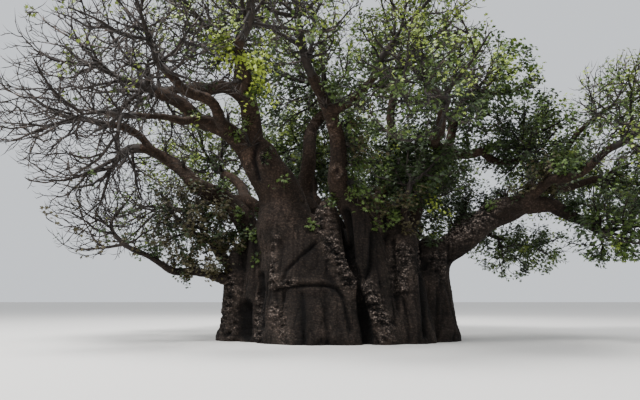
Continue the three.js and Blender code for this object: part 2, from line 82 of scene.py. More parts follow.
# The stems that the trunk grew from: foot, radius there, top, radius there.
Stem = namedtuple("Stem", "foot radius top top_radius")
TRUNK_STEMS = [
    Stem((-3.6, 0.2), 0.83, (-3.7, 0.25, 3.5), 0.5),
    Stem((-2.8, -0.5), 0.64, (-2.85, -0.05, 4.3), 0.52),
    Stem((-2.06, -1.25), 0.72, (-1.9, -0.85, 4.5), 0.62),
    Stem((-1.0, -1.5), 1.01, (-1.35, -0.85, 4.4), 0.86),
    Stem((0.08, -1.65), 0.88, (-0.42, -1.2, 5.0), 0.42),
    Stem((1.42, -1.5), 0.8, (0.85, -1.15, 4.5), 0.56),
    Stem((2.45, -1.1), 0.84, (2.15, -0.75, 4.4), 0.64),
    Stem((3.48, -0.1), 0.9, (3.3, -0.05, 3.6), 0.7),
    Stem((3.05, 1.15), 0.86, (2.8, 0.95, 3.9), 0.62),
    Stem((1.5, 1.75), 1.0, (1.08, 1.3, 5.1), 0.72),
    Stem((-0.3, 1.85), 1.05, (-0.2, 1.5, 4.8), 0.76),
    Stem((-2.2, 1.35), 0.98, (-2.1, 1.05, 4.2), 0.64),
]
HEART_RADII = (3.5, 1.7, 4.2)  # the wood between the stems, a dome
ROOT_FLARE = 0.24
ROOT_FLARE_HEIGHT = 0.7
BELOW_GROUND = 0.5
STEM_POINTS = 40
STEM_SHARES = (0, 0.2, 0.62, 1)  # where the four points that bend a stem lie along it
STEM_BEND = 0.35  # how far below the top the third of them lies, as a share
STEM_SMOOTHINGS = 6
ROUND_FROM, ROUND_OVER = 0.72, 0.28  # the part of a stem's length that its rounded top takes up
ROUND_DEPTH, ROUND_LEAST = 0.96, 0.02

# The boughs: where each leaves its parent (a share of the parent's length) or the trunk (a place), its
# headings at both ends (degrees round from +X, degrees above level), its tip and its radii.
Bough = namedtuple("Bough", "parent root leave tip arrive radii")
BOUGHS = {
    "main_stem": Bough(None, (-1.35, -0.6, 2.4), (180, 74), (-2.82, -0.9, 6.59), (180, 64), (1.1, 0.62)),
    "left_upper": Bough("main_stem", 0.9, (182, 42), (-6.15, -2.0, 8.55), (188, 24), (0.4, 0.19)),
    "crown_left": Bough("main_stem", 0.94, (195, 66), (-3.45, -1.5, 10.1), (130, 84), (0.42, 0.2)),
    "left_level": Bough("crown_left", 0.6, (172, 30), (-6.35, 0.5, 9.5), (170, 2), (0.23, 0.15)),
    "left_low": Bough(None, (-2.85, 0.7, 2.9), (180, 66), (-7.4, 0.5, 7.3), (180, 26), (0.5, 0.19)),
    "left_far": Bough("left_low", 0.82, (200, 34), (-9.0, -0.7, 8.0), (182, 6), (0.17, 0.11)),
    "left_skirt": Bough(None, (-3.6, 0.35, 2.4), (172, 40), (-5.7, 0.6, 4.05), (176, 12), (0.24, 0.13)),
    "left_reach": Bough(None, (-3.35, 0.05, 2.15), (188, 4), (-7.3, -1.3, 3.3), (184, 26), (0.21, 0.1)),
    "left_front": Bough("left_upper", 0.34, (246, 30), (-5.1, -5.2, 8.1), (236, 22), (0.21, 0.13)),
    "left_front_low": Bough("left_upper", 0.5, (225, 8), (-6.3, -3.9, 7.2), (208, 4), (0.15, 0.1)),
    "left_back": Bough(None, (-2.3, 1.3, 3.0), (140, 62), (-5.0, 5.0, 7.2), (128, 24), (0.38, 0.18)),
    "left_back_low": Bough("left_back", 0.52, (178, 12), (-7.0, 4.2, 5.5), (176, 4), (0.19, 0.11)),
    "top": Bough(None, (-0.1, 0.9, 3.5), (158, 52), (-0.3, 1.9, 9.25), (10, 46), (0.48, 0.19)),
    "centre": Bough(None, (0.95, -1.2, 1.7), (200, 80), (-0.9, -3.0, 8.7), (215, 62), (0.62, 0.16)),
    "centre_right": Bough("centre", 0.84, (-20, 34), (1.0, -3.5, 8.55), (-50, 48), (0.17, 0.11)),
    "upright": Bough(None, (1.5, 0.7, 3.3), (30, 80), (2.25, 1.1, 9.7), (10, 84), (0.32, 0.15)),
    "right_upper": Bough(None, (2.2, 0.2, 3.2), (-5, 72), (4.35, -0.1, 8.3), (10, 74), (0.34, 0.15)),
    "right_mid": Bough("right_upper", 0.74, (12, 24), (6.9, 0.8, 6.85), (8, 4), (0.19, 0.12)),
    "arch_rise": Bough(None, (2.95, -0.1, 1.9), (-4, 50), (6.96, -0.6, 4.99), (-4, 4), (0.56, 0.33)),
    "arch_fall": Bough("arch_rise", 1, (-6, -2), (8.95, -1.25, 4.05), (-24, -36), (0.32, 0.14)),
    "right_level": Bough("arch_rise", 0.56, (10, 26), (10.0, 0.9, 6.2), (8, 12), (0.24, 0.13)),
    "right_rise": Bough("right_level", 0.62, (80, 66), (9.35, 0.1, 8.1), (-14, 50), (0.14, 0.09)),
    "right_front": Bough("arch_rise", 0.9, (-36, 34), (8.3, -3.9, 6.2), (-66, 26), (0.2, 0.12)),
    "right_back": Bough(None, (2.95, 0.95, 2.7), (40, 34), (7.7, 4.2, 5.9), (24, 24), (0.38, 0.17)),
    "right_back_low": Bough("right_back", 0.7, (60, -6), (7.3, 5.4, 4.5), (20, -12), (0.17, 0.11)),
    "back_centre": Bough(None, (-0.35, 1.7, 3.3), (112, 66), (-1.6, 5.6, 7.9), (108, 36), (0.42, 0.19)),
    "back_right": Bough(None, (1.5, 1.6, 3.1), (68, 58), (3.1, 4.3, 6.2), (64, 26), (0.4, 0.19)),
    "front": Bough("crown_left", 0.46, (-78, 24), (-2.9, -5.4, 8.9), (-70, 18), (0.23, 0.13)),
    "front_right": Bough("right_upper", 0.6, (-84, 36), (3.1, -4.2, 7.3), (-86, 14), (0.22, 0.13)),
    "centre_low": Bough(None, (2.25, -0.85, 3.3), (-60, 70), (2.35, -1.6, 5.15), (60, 66), (0.19, 0.11)),
}
COLLAR = 0.3  # extra radius where a bough leaves its parent, as a share
COLLAR_REACH = 1.5  # how far it fades out along the bough, in radii
TAPER = 1.2
BOUGH_POINTS = 200
BOUGH_BEND = 0.4  # how far a bough keeps to the heading at each end, as a share of its span
WANDER = 0.035  # how far it strays from that curve, as a share of its span
WANDER_TURNS = 1.5
WANDER_PACE = 1.3  # the stray along Y turns faster than along X and Z

# The space that each bough's twigs fill: its middle, its reach along X, Y and Z, and its share in leaf.
# Against the other masses: how many fine twigs and sprays it has, and how much deeper its leaves are.
Mass = namedtuple("Mass", "middle reach leaf twigs sprays deeper", defaults=(1, 1, 0))
MASSES = {
    "left_upper": Mass((-8.0, -2.4, 9.2), (3.3, 2.6, 2.4), 0.1, twigs=0.8),
    "crown_left": Mass((-4.3, -1.2, 11.0), (2.9, 2.5, 2.2), 0.3, twigs=1.5),
    "left_level": Mass((-7.9, 1.8, 9.6), (3.4, 2.8, 2.6), 0.1, twigs=0.75),
    "left_low": Mass((-9.2, 1.2, 6.3), (3.0, 2.8, 1.9), 0.08, twigs=0.7),
    "left_far": Mass((-10.4, -0.9, 7.8), (2.1, 2.5, 2.0), 0.06, twigs=0.45),
    "left_skirt": Mass((-5.7, 0.9, 4.6), (2.1, 2.3, 1.9), 0.75, sprays=1.4),
    "left_reach": Mass((-8.2, -1.5, 4.3), (2.0, 2.2, 1.5), 0.16),
    "left_front": Mass((-5.2, -6.6, 8.6), (2.5, 2.4, 1.9), 0.12),
    "left_front_low": Mass((-7.9, -5.2, 6.8), (2.4, 2.4, 1.9), 0.08, twigs=0.85),
    "left_back": Mass((-6.0, 6.0, 8.2), (3.3, 3.0, 3.0), 0.3, sprays=1.5),
    "left_back_low": Mass((-8.2, 4.4, 5.4), (2.8, 2.5, 2.1), 0.25, twigs=0.75),
    "top": Mass((-1.0, 2.4, 10.7), (3.3, 2.7, 2.5), 0.6, sprays=0.75),
    "centre": Mass((-1.4, -4.5, 10.5), (2.6, 2.3, 2.0), 0.45, twigs=1.2, sprays=0.75),
    "centre_right": Mass((2.0, -4.6, 10.0), (2.3, 2.3, 2.0), 0.65, sprays=0.75),
    "upright": Mass((2.8, 1.3, 10.9), (2.8, 2.7, 2.3), 0.75, twigs=0.85, sprays=0.8),
    "right_upper": Mass((5.0, -0.3, 9.2), (2.6, 2.7, 2.0), 0.9, twigs=0.9, sprays=1.05),
    "right_mid": Mass((7.6, 1.0, 7.9), (2.5, 2.6, 1.8), 0.9, twigs=1.2, sprays=1.15, deeper=0.08),
    "arch_fall": Mass((10.0, -1.9, 4.0), (2.3, 2.3, 1.5), 0.75, twigs=1.3, sprays=1.2, deeper=0.2),
    "right_level": Mass((11.5, 1.1, 6.0), (2.0, 2.5, 1.5), 0.65, twigs=1.45, sprays=1.2, deeper=0.16),
    "right_rise": Mass((10.6, -0.5, 8.9), (2.4, 2.4, 1.6), 0.4, twigs=1.2, sprays=0.6),
    "right_front": Mass((9.7, -5.0, 7.1), (2.9, 2.7, 2.0), 0.6, twigs=1.3, sprays=1.15, deeper=0.16),
    "right_back": Mass((10.0, 4.9, 6.9), (2.6, 2.6, 2.1), 0.9, sprays=1.15, deeper=0.2),
    "right_back_low": Mass((8.7, 5.8, 4.0), (2.5, 2.3, 1.5), 0.95, deeper=0.35),
    "back_centre": Mass((-0.9, 6.3, 8.1), (3.8, 3.1, 3.1), 0.8, sprays=1.55),
    "back_right": Mass((3.6, 5.5, 6.6), (3.2, 2.8, 3.1), 0.95, sprays=1.5),
    "front": Mass((-2.0, -7.9, 9.7), (2.7, 2.4, 2.0), 0.35, sprays=0.7),
    "front_right": Mass((2.0, -6.2, 7.6), (2.3, 2.4, 1.8), 0.65, sprays=0.85),
    "centre_low": Mass((3.0, -0.6, 6.4), (2.0, 2.0, 1.6), 1.0, twigs=1.8),
}

UP = np.array([0.0, 0.0, 1.0])
NEARLY_UP = UP + 0.01  # no twig follows it exactly
TINY = 1e-9
GOLDEN_ANGLE = math.pi * (3 - math.sqrt(5))
SPREAD = (0.8191725134, 0.6710436067, 0.5497004779)  # steps that spread numbers evenly from 0 to 1
SEED = 7


def share(value):
    return value - np.floor(value)


def lengths(vectors):
    return np.linalg.norm(vectors, axis=-1)


def unit(vectors):
    return vectors / np.maximum(np.linalg.norm(vectors, axis=-1, keepdims=True), TINY)


def heading(round_degrees, up_degrees):
    round_, up = math.radians(round_degrees), math.radians(up_degrees)
    return np.array([math.cos(up) * math.cos(round_), math.cos(up) * math.sin(round_), math.sin(up)])


# Each noise: its scale along X, Y and Z, and where it starts.
NOISES = {
    "fold": ((1.5, 1.5, 0.2), 0.0),
    "fold_depth": ((0.5, 0.5, 0.5), 7.0),
    "flute": ((3.4, 3.4, 0.5), 3.0),
    "patch": ((0.9, 0.9, 0.45), 11.0),
    "lumps": ((1.2, 1.2, 0.9), 5.0),
    "rolls": ((2.4, 2.4, 6.5), 2.0),
    "beads": ((5.5, 5.5, 7.0), 6.0),
    "warts": ((9.0, 9.0, 11.0), 4.0),
    "ragged": ((2.6, 2.6, 1.6), 15.0),
    "wide_clumps": ((0.7, 0.7, 0.7), 21.0),
    "small_clumps": ((1.7, 1.7, 1.7), 27.0),
    "tone": ((0.9, 0.9, 0.9), 33.0),
}


def noise_at(places, kind):
    """Smooth noise between about -1 and 1 at each place."""
    scale, start = NOISES[kind]
    spots = places * np.array(scale) + start
    return np.array([noise.noise(Vector(spot)) for spot in spots.tolist()])


# Curves.

LINE_STEPS = 25


def bezier(points, t):
    """The places at the shares t of a Bezier curve of three or four points."""
    t = np.asarray(t, dtype=float)[..., None]
    points = [np.asarray(point, dtype=float) for point in points]
    while len(points) > 1:
        points = [a + (b - a) * t for a, b in zip(points, points[1:])]
    return points[0]


class Line:
    """A limb's middle line, stored as evenly spaced places with a radius at each."""

    def __init__(self, places, radius_at):
        along = np.concatenate([[0], np.cumsum(lengths(np.diff(places, axis=0)))])
        even = np.linspace(0, along[-1], LINE_STEPS)
        self.places = np.stack([np.interp(even, along, column) for column in places.T], axis=1)
        self.shares = np.linspace(0, 1, LINE_STEPS)
        self.radii = np.array([radius_at(t, along[-1]) for t in self.shares])

    def at(self, t):
        return np.array([np.interp(t, self.shares, column) for column in self.places.T])

    def lead(self, t):
        step = self.shares[1] / 2
        return unit(self.at(min(t + step, 1)) - self.at(max(t - step, 0)))


def trunk_line(stem):
    low = np.array([*stem.foot, -BELOW_GROUND])
    top = np.array(stem.top)
    control = np.array([low, (*stem.foot, ROOT_FLARE_HEIGHT), top + STEM_BEND * (low - top), top])
    spots = np.interp(np.linspace(0, 1, STEM_POINTS), STEM_SHARES, range(4))
    places = np.stack([np.interp(spots, range(4), column) for column in control.T], axis=1)
    for _ in range(STEM_SMOOTHINGS):
        places[1:-1] = (places[:-2] + 2 * places[1:-1] + places[2:]) / 4

    def radius_at(t, length):
        height = max(0, low[2] + t * length)
        flare = 1 + ROOT_FLARE * math.exp(-height / ROOT_FLARE_HEIGHT)
        past = max(0, (t - ROUND_FROM) / ROUND_OVER)
        rounding = math.sqrt(max(ROUND_LEAST, 1 - ROUND_DEPTH * past**2))
        return (stem.radius + t * (stem.top_radius - stem.radius)) * flare * rounding

    return Line(places, radius_at)


def bough_line(bough, index, limbs):
    parent = limbs.get(bough.parent)
    root = parent.at(bough.root) if parent else np.array(bough.root)
    tip = np.array(bough.tip)
    span = np.linalg.norm(tip - root)
    leave = BOUGH_BEND * span * heading(*bough.leave)
    arrive = BOUGH_BEND * span * heading(*bough.arrive)
    t = np.linspace(0, 1, BOUGH_POINTS)
    turn = 2 * math.pi * (WANDER_TURNS * t + SPREAD[1] * index)
    stray = np.stack([np.cos(turn), np.sin(WANDER_PACE * turn), np.sin(turn)], axis=1)
    curve = bezier([root, root + leave, tip - arrive, tip], t)
    collar = 0 if bough.root == 1 else COLLAR
    thick, thin = bough.radii

    def radius_at(t, length):
        swell = collar * thick * math.exp(-t * length / (COLLAR_REACH * thick))
        return thin + (thick - thin) * (1 - t) ** TAPER + swell

    return Line(curve + WANDER * span * np.sin(math.pi * t)[:, None] * stray, radius_at)


limbs = {}
for index, (name, bough) in enumerate(BOUGHS.items()):
    limbs[name] = bough_line(bough, index, limbs)

# The twigs of each mass.

STEM_SUNK = 0.05  # how deep a mass's own stem starts in its bough
STEM_BOW = 0.45
STEM_SHORT = 0.12  # how far from the middle of the mass it ends, as a share
STEM_TAPER = (0.96, 0.46)  # its radius at the root and how much of it is lost, against the bough's tip
TWIG_SAG = 0.14
TWIG_LEAD = 0.12
JOINT_SHARES = np.array([0.3, 0.5, 0.7, 0.9])
JOINT_STEP = 0.02
CLEAR_SHARES = np.array([0.3, 0.5, 0.7, 0.85, 1])
TWIG_CLEARANCE, FINE_CLEARANCE = 0.09, 0.03  # from other limbs, for long twigs and for fine ones
CELL_MARGIN, FINE_MARGIN = 0.1, 0.02  # from the spaces of other masses
PATH_WEIGHT = 0.3
TURN_WEIGHT = 0.4
FINE_TURN_WEIGHT = 1.0  # finer twigs keep more to the way their carrier goes
MAIN_TRIES = 60  # targets near the edge of the space, for the longest twigs
FINE_TRIES = 3  # targets for each fine twig
SHORTEST_MAIN, SHORTEST_FINE = 0.5, 0.15
MAIN_TWIGS = (6, 2)  # and how many more a bare mass has
FINE_TWIGS = (400, 270)  # more targets for a bare mass and for one all in leaf
USUAL_VOLUME = 15
HEIGHT_SHIFT, DEPTH_SHIFT = 0.31, 0.17  # how much the targets of one mass differ from the next one's
EDGE_FROM, EDGE_BAND = 0.9, 0.08
OUTERMOST, FILLING = 0.99, 0.45
TIP_RADIUS = 0.0145
ROOT_FIT = 0.98
LOAD_REACH = 0.05
ROOM = 0.05  # how far a twig may pass the solids' box

CENTRES = np.array([mass.middle for mass in MASSES.values()])
REACHES = np.array([mass.reach for mass in MASSES.values()])
LOWEST, HIGHEST = np.array(cad_box[0]) - ROOM, np.array(cad_box[1]) + ROOM


def stem_of(name):
    """The stem of a mass, as the three points of its curve."""
    line = limbs[name]
    lead = line.lead(1)
    start = line.places[-1] - STEM_SUNK * lead
    middle = np.array(MASSES[name].middle)
    end = middle + STEM_SHORT * (start - middle)
    return np.array([start, start + STEM_BOW * np.linalg.norm(end - start) * lead, end])


def gather_obstacles():
    """Places on all boughs and on the masses' own stems, the radius there, and whose mass it is or -1."""
    t = np.linspace(0, 1, LINE_STEPS)
    parts = []
    for name, line in limbs.items():
        parts.append((line.places, line.radii, -1))
        if name in MASSES:
            radii = line.radii[-1] * (STEM_TAPER[0] - STEM_TAPER[1] * t)
            parts.append((bezier(stem_of(name), t), radii, list(MASSES).index(name)))
    places, radii, owners = zip(*parts)
    return np.concatenate(places), np.concatenate(radii), np.repeat(owners, LINE_STEPS)


OBSTACLES, OBSTACLE_RADII, OBSTACLE_OWNERS = gather_obstacles()


def clear(places, own, pad, margin, reach=1.0):
    """Which places lie in the space of the mass numbered own and away from all other limbs."""
    shares = lengths((places[:, None] - CENTRES) / REACHES)
    mine = shares[:, own].copy()
    shares[:, own] = np.inf
    inside = (mine <= reach) & (shares.min(axis=1) > mine + margin)
    inside &= ((places > LOWEST) & (places < HIGHEST)).all(axis=1)
    others = OBSTACLE_OWNERS != own
    gaps = lengths(places[:, None] - OBSTACLES[others]) - OBSTACLE_RADII[others]
    return inside & (gaps.min(axis=1) > pad)


def target_of(mass, index, k):
    """The k-th place that twigs grow towards: first near the edge of the space, then all through it."""
    height = 2 * share(k * SPREAD[0] + index * HEIGHT_SHIFT) - 1
    turn = k * GOLDEN_ANGLE + index
    depth = share(k * SPREAD[2] + index * DEPTH_SHIFT)
    out = EDGE_FROM + EDGE_BAND * depth if k < MAIN_TRIES else OUTERMOST * depth**FILLING
    level = math.sqrt(1 - height * height)
    offset = np.array([level * math.cos(turn), level * math.sin(turn), height])
    return np.array(mass.middle) + np.array(mass.reach) * out * offset


class Twigs:
    """The twigs of one mass: the three points of each curve, its carrier, and where on it it starts."""

    def __init__(self, name, index):
        self.name = name
        self.index = index
        self.curves = []
        self.carriers = []
        self.starts = []
        # Where more twigs may start: the place, the way there, the path so far and the twig's number.
        self.joints = np.zeros((0, 8))
        self.add(stem_of(name), -1, 0.0, 0.0)
        self.grow(MASSES[name])

    def add(self, curve, carrier, start, path):
        places = bezier(curve, JOINT_SHARES)
        leads = unit(bezier(curve, JOINT_SHARES + JOINT_STEP) - places)
        paths = path + JOINT_SHARES * np.linalg.norm(curve[2] - curve[0])
        number = np.full(len(JOINT_SHARES), len(self.curves))
        self.joints = np.concatenate([self.joints, np.column_stack([places, leads, paths, number])])
        self.curves.append(curve)
        self.carriers.append(carrier)
        self.starts.append(start)

    def grow(self, mass):
        main_count = MAIN_TWIGS[0] + round(MAIN_TWIGS[1] * (1 - mass.leaf))
        volume = np.prod(mass.reach) / USUAL_VOLUME
        usual_count = FINE_TWIGS[0] + (FINE_TWIGS[1] - FINE_TWIGS[0]) * mass.leaf
        fine_count = int(mass.twigs * usual_count * volume)
        for k in range(MAIN_TRIES + FINE_TRIES * fine_count):
            main = k < MAIN_TRIES
            if main and len(self.curves) > main_count:
                continue
            if len(self.curves) > main_count + fine_count:
                break
            self.reach_for(target_of(mass, self.index, k), main)

    def reach_for(self, target, main):
        starts, leads, paths = self.joints[:, :3], self.joints[:, 3:6], self.joints[:, 6]
        way = target - starts
        distance = lengths(way)
        turn = 1 - (way * leads).sum(axis=1) / np.maximum(distance, TINY)
        turn_weight = TURN_WEIGHT if main else FINE_TURN_WEIGHT
        best = int(np.argmin(distance * (1 + turn_weight * turn) + PATH_WEIGHT * paths))
        start = starts[best]
        length = distance[best]
        if length < (SHORTEST_MAIN if main else SHORTEST_FINE):
            return
        middle = (start + target) / 2 - TWIG_SAG * length * UP + TWIG_LEAD * length * leads[best]
        curve = np.array([start, middle, target])
        margin, pad = (CELL_MARGIN, TWIG_CLEARANCE) if main else (FINE_MARGIN, FINE_CLEARANCE)
        if not clear(bezier(curve, CLEAR_SHARES), self.index, pad, margin).all():
            return
        self.add(curve, int(self.joints[best, 7]), JOINT_SHARES[best % len(JOINT_SHARES)], paths[best])

    def radii(self, shares):
        """The radius of each twig at the given shares of its length, from the tips it carries."""
        count = len(self.curves)
        loads = np.ones((count, len(shares)))
        totals = np.ones(count)
        for i in range(count - 1, 0, -1):
            carrier = self.carriers[i]
            totals[carrier] += totals[i]
            loads[carrier] += totals[i] * (shares < self.starts[i] + LOAD_REACH)
        root = ROOT_FIT * limbs[self.name].radii[-1]
        power = math.log(root / TIP_RADIUS) / math.log(totals[0])
        return TIP_RADIUS * loads**power


masses = {name: Twigs(name, index) for index, name in enumerate(MASSES)}

# The kinds of leaf, in the order of their numbers, and the number for none.
LEAF_COLOURS = {
    "fresh_leaf": (0.23, 0.3, 0.05),
    "green_leaf": (0.08, 0.128, 0.026),
    "deep_leaf": (0.026, 0.046, 0.012),
    "olive_leaf": (0.066, 0.056, 0.023),
    "yellow_leaf": (0.36, 0.45, 0.06),
}
FRESH, GREEN, DEEP, OLIVE, YELLOW = range(len(LEAF_COLOURS))
BARE = -1

# Tufts that sprout straight from the limbs and stems: the limb, or the number of the trunk's stem, then
# for each tuft the share of its length, the heading (degrees round and up), how long and how many the
# shoots are, and the kind of most of their leaves.
Tuft = namedtuple("Tuft", "limb share round up length shoots leaf")
TUFT_ROWS = [
    ("main_stem", [(0.7, 290, 14, 0.6, 3, GREEN), (0.95, 285, 4, 0.5, 3, GREEN)]),
    ("left_low", [
        (0.1, 225, 30, 0.9, 9, DEEP), (0.28, 262, 12, 0.7, 5, GREEN), (0.46, 270, 34, 0.7, 5, GREEN),
        (0.6, 250, -10, 0.6, 4, OLIVE),
    ]),
    ("left_skirt", [
        (0.15, 120, 60, 0.9, 10, OLIVE), (0.5, 100, 50, 0.9, 10, OLIVE), (0.05, 70, 70, 0.9, 12, DEEP),
        (0.3, 250, 60, 0.9, 12, OLIVE), (0.75, 260, -20, 0.9, 12, OLIVE),
    ]),
    ("left_low", [
        (0.22, 180, -20, 0.8, 10, OLIVE), (0.36, 190, -30, 0.8, 10, OLIVE),
        (0.72, 270, 50, 0.9, 12, BARE), (0.86, 280, 50, 0.8, 10, BARE),
    ]),
    ("left_reach", [
        (0.14, 200, 50, 0.8, 12, OLIVE), (0.28, 260, 30, 0.8, 12, OLIVE), (0.42, 180, 50, 0.8, 12, OLIVE),
        (0.5, 270, -30, 0.6, 9, OLIVE), (0.6, 240, 60, 0.7, 10, OLIVE), (0.76, 220, 60, 0.7, 8, DEEP),
    ]),
    ("left_upper", [
        (0.12, 250, 50, 0.9, 12, BARE), (0.4, 270, 60, 0.8, 9, BARE), (0.3, 270, 10, 0.6, 4, GREEN),
        (0.62, 262, 0, 0.7, 5, FRESH),
    ]),
    ("crown_left", [
        (0.3, 262, 22, 0.6, 4, GREEN), (0.1, 250, 20, 0.9, 12, BARE), (0.75, 320, 0, 1.0, 12, YELLOW),
    ]),
    ("front", [
        (0.2, 200, 20, 0.9, 12, BARE), (0.35, 300, -20, 0.9, 14, GREEN),
        (0.45, 325, -10, 1.1, 18, YELLOW), (0.5, 220, -10, 1.0, 12, BARE), (0.6, 310, 0, 1.1, 18, YELLOW),
        (0.75, 270, 0, 0.9, 16, YELLOW), (0.85, 200, 0, 0.9, 12, YELLOW), (0.95, 190, 10, 0.8, 12, FRESH),
    ]),
    ("centre", [
        (0.4, 196, 16, 0.8, 6, GREEN), (0.46, 350, -10, 1.2, 18, OLIVE), (0.55, 340, -20, 1.3, 18, GREEN),
        (0.64, 350, -10, 1.3, 20, GREEN), (0.72, 345, -15, 1.2, 18, OLIVE),
        (0.8, 350, -5, 1.2, 18, GREEN), (0.93, 320, 0, 1.1, 14, GREEN),
    ]),
    ("centre_right", [(0.35, 330, -10, 1.1, 14, OLIVE), (0.8, 0, 0, 1.1, 14, GREEN)]),
    ("centre_low", [(0.5, 220, 20, 1.0, 14, GREEN), (0.8, 270, 10, 1.0, 14, OLIVE)]),
    ("arch_rise", [
        (0.7, 270, 40, 0.5, 4, GREEN), (0.85, 240, 70, 0.7, 9, BARE), (0.97, 270, 60, 0.9, 12, OLIVE),
    ]),
    ("arch_fall", [
        (0.25, 290, 50, 0.8, 12, OLIVE), (0.5, 300, 20, 0.8, 12, DEEP), (0.75, 300, -10, 0.8, 12, GREEN),
    ]),
    ("right_back", [
        (0.38, 60, 60, 1.3, 16, DEEP), (0.5, 20, 70, 1.4, 18, DEEP), (0.55, 80, 56, 1.2, 12, DEEP),
        (0.64, 100, 66, 1.4, 18, DEEP), (0.75, 80, 46, 1.2, 12, DEEP), (0.84, 130, 60, 1.1, 16, DEEP),
        (0.97, 110, 50, 1.2, 16, DEEP),
    ]),
    ("right_front", [
        (0.15, 270, 60, 0.9, 12, BARE), (0.3, 250, 50, 0.9, 12, OLIVE), (0.45, 270, 30, 0.9, 12, GREEN),
        (0.62, 260, 40, 0.9, 14, GREEN), (0.8, 270, 10, 0.8, 12, BARE),
    ]),
    ("right_level", [
        (0.14, 270, 60, 0.9, 12, BARE), (0.3, 270, 40, 0.9, 12, OLIVE), (0.46, 270, 50, 0.9, 14, GREEN),
        (0.62, 270, 30, 0.9, 14, GREEN), (0.8, 270, 50, 0.9, 12, BARE),
    ]),
    ("right_rise", [(0.4, 270, 20, 0.8, 12, GREEN)]),
    ("right_mid", [(0.3, 270, 60, 0.8, 10, BARE), (0.6, 270, 30, 0.8, 12, GREEN)]),
    ("right_upper", [
        (0.35, 250, 10, 1.2, 16, DEEP), (0.48, 270, -10, 1.2, 16, GREEN), (0.6, 250, 20, 0.8, 10, BARE),
    ]),
    ("front_right", [(0.2, 250, -10, 1.1, 16, GREEN)]),
    ("right_upper", [(0.4, 310, -10, 1.3, 9, YELLOW)]),
    ("upright", [
        (0.3, 120, 20, 1.3, 18, DEEP), (0.4, 270, 0, 1.2, 18, GREEN), (0.68, 280, 10, 1.2, 16, GREEN),
    ]),
    (10, [(0.96, 320, 40, 1.2, 18, DEEP)]),
    (9, [(0.96, 200, 40, 1.2, 18, DEEP)]),
    (5, [(0.96, 290, 50, 0.9, 12, OLIVE)]),
    (6, [(0.96, 270, 50, 0.9, 12, DEEP)]),
    ("upright", [
        (0.5, 260, 20, 0.8, 10, BARE), (0.55, 170, 20, 1.3, 18, DEEP), (0.62, 265, 0, 1.1, 14, YELLOW),
        (0.75, 190, 10, 1.2, 16, GREEN),
    ]),
    ("back_right", [(0.8, 170, 70, 1.5, 20, DEEP), (0.95, 150, 60, 1.6, 20, DEEP)]),
    ("centre", [
        (0.55, 60, 10, 1.2, 16, DEEP), (0.7, 60, 20, 1.3, 16, DEEP), (0.84, 240, 30, 0.9, 12, BARE),
    ]),
    (0, [(0.95, 150, 50, 1.0, 12, DEEP), (0.9, 280, 40, 0.7, 9, OLIVE)]),
    (1, [(0.95, 270, 60, 0.8, 10, DEEP), (0.86, 250, 22, 0.6, 5, GREEN), (0.72, 262, 6, 0.4, 3, GREEN)]),
    (3, [(0.86, 296, 24, 0.6, 4, GREEN)]),
    (5, [(0.86, 300, 18, 0.5, 4, GREEN)]),
    (6, [(0.84, 276, 26, 0.6, 5, OLIVE)]),
    (7, [(0.9, 268, 40, 0.6, 5, DEEP)]),
]
TUFTS = [Tuft(limb, *row) for limb, rows in TUFT_ROWS for row in rows]
TUFT_RADIUS = 0.022
TUFT_SPREAD = 0.75
TUFT_SHORTEST = 0.35  # of a shoot in a tuft, as a share of the tuft's length
TUFT_START = 0.8  # how far from the limb's middle line it starts, as a share of its radius
TUFT_LEAD, TUFT_BOW = 0.3, 0.4
TUFT_USUAL = 0.7  # share of a tuft's shoots that have its own kind of leaf; the others are deep


def grow_tufts(rng):
    """The curves of all the tufts' shoots and the kind of leaf on each."""
    curves, kinds = [], []
    for tuft in TUFTS:
        line = trunk_line(TRUNK_STEMS[tuft.limb]) if isinstance(tuft.limb, int) else limbs[tuft.limb]
        way = heading(tuft.round, tuft.up)
        root = line.at(tuft.share) + TUFT_START * np.interp(tuft.share, line.shares, line.radii) * way
        for _ in range(tuft.shoots):
            lead = unit(way + rng.normal(0, TUFT_SPREAD, 3))
            tip = root + (TUFT_LEAD * way + lead * rng.uniform(TUFT_SHORTEST, 1)) * tuft.length
            curves.append([root, root + TUFT_BOW * tuft.length * way, tip])
            usual = rng.uniform(0, 1) < TUFT_USUAL
            kinds.append(tuft.leaf if usual or tuft.leaf == BARE else DEEP)
    return np.array(curves), np.array(kinds)


# Joined meshes from arrays.


def add_object(name, data):
    thing = bpy.data.objects.new(name, data)
    bpy.context.scene.collection.objects.link(thing)
    return thing


def new_mesh(name, vertices, faces):
    """A mesh from arrays; all faces have the same number of corners."""
    mesh = bpy.data.meshes.new(name)
    mesh.vertices.add(len(vertices))
    mesh.vertices.foreach_set("co", vertices.astype(np.float32).ravel())
    mesh.loops.add(faces.size)
    mesh.loops.foreach_set("vertex_index", faces.astype(np.int32).ravel())
    mesh.polygons.add(len(faces))
    mesh.polygons.foreach_set("loop_start", np.arange(0, faces.size, faces.shape[1], dtype=np.int32))
    mesh.update()
    return mesh


def mesh_piece(name, vertices, triangles, materials, numbers):
    """A piece from arrays, with the number of each triangle's material."""
    mesh = new_mesh(name, vertices, triangles)
    for material in materials:
        mesh.materials.append(material)
    mesh.polygons.foreach_set("material_index", numbers.astype(np.int32))
    return add_object(name, mesh)


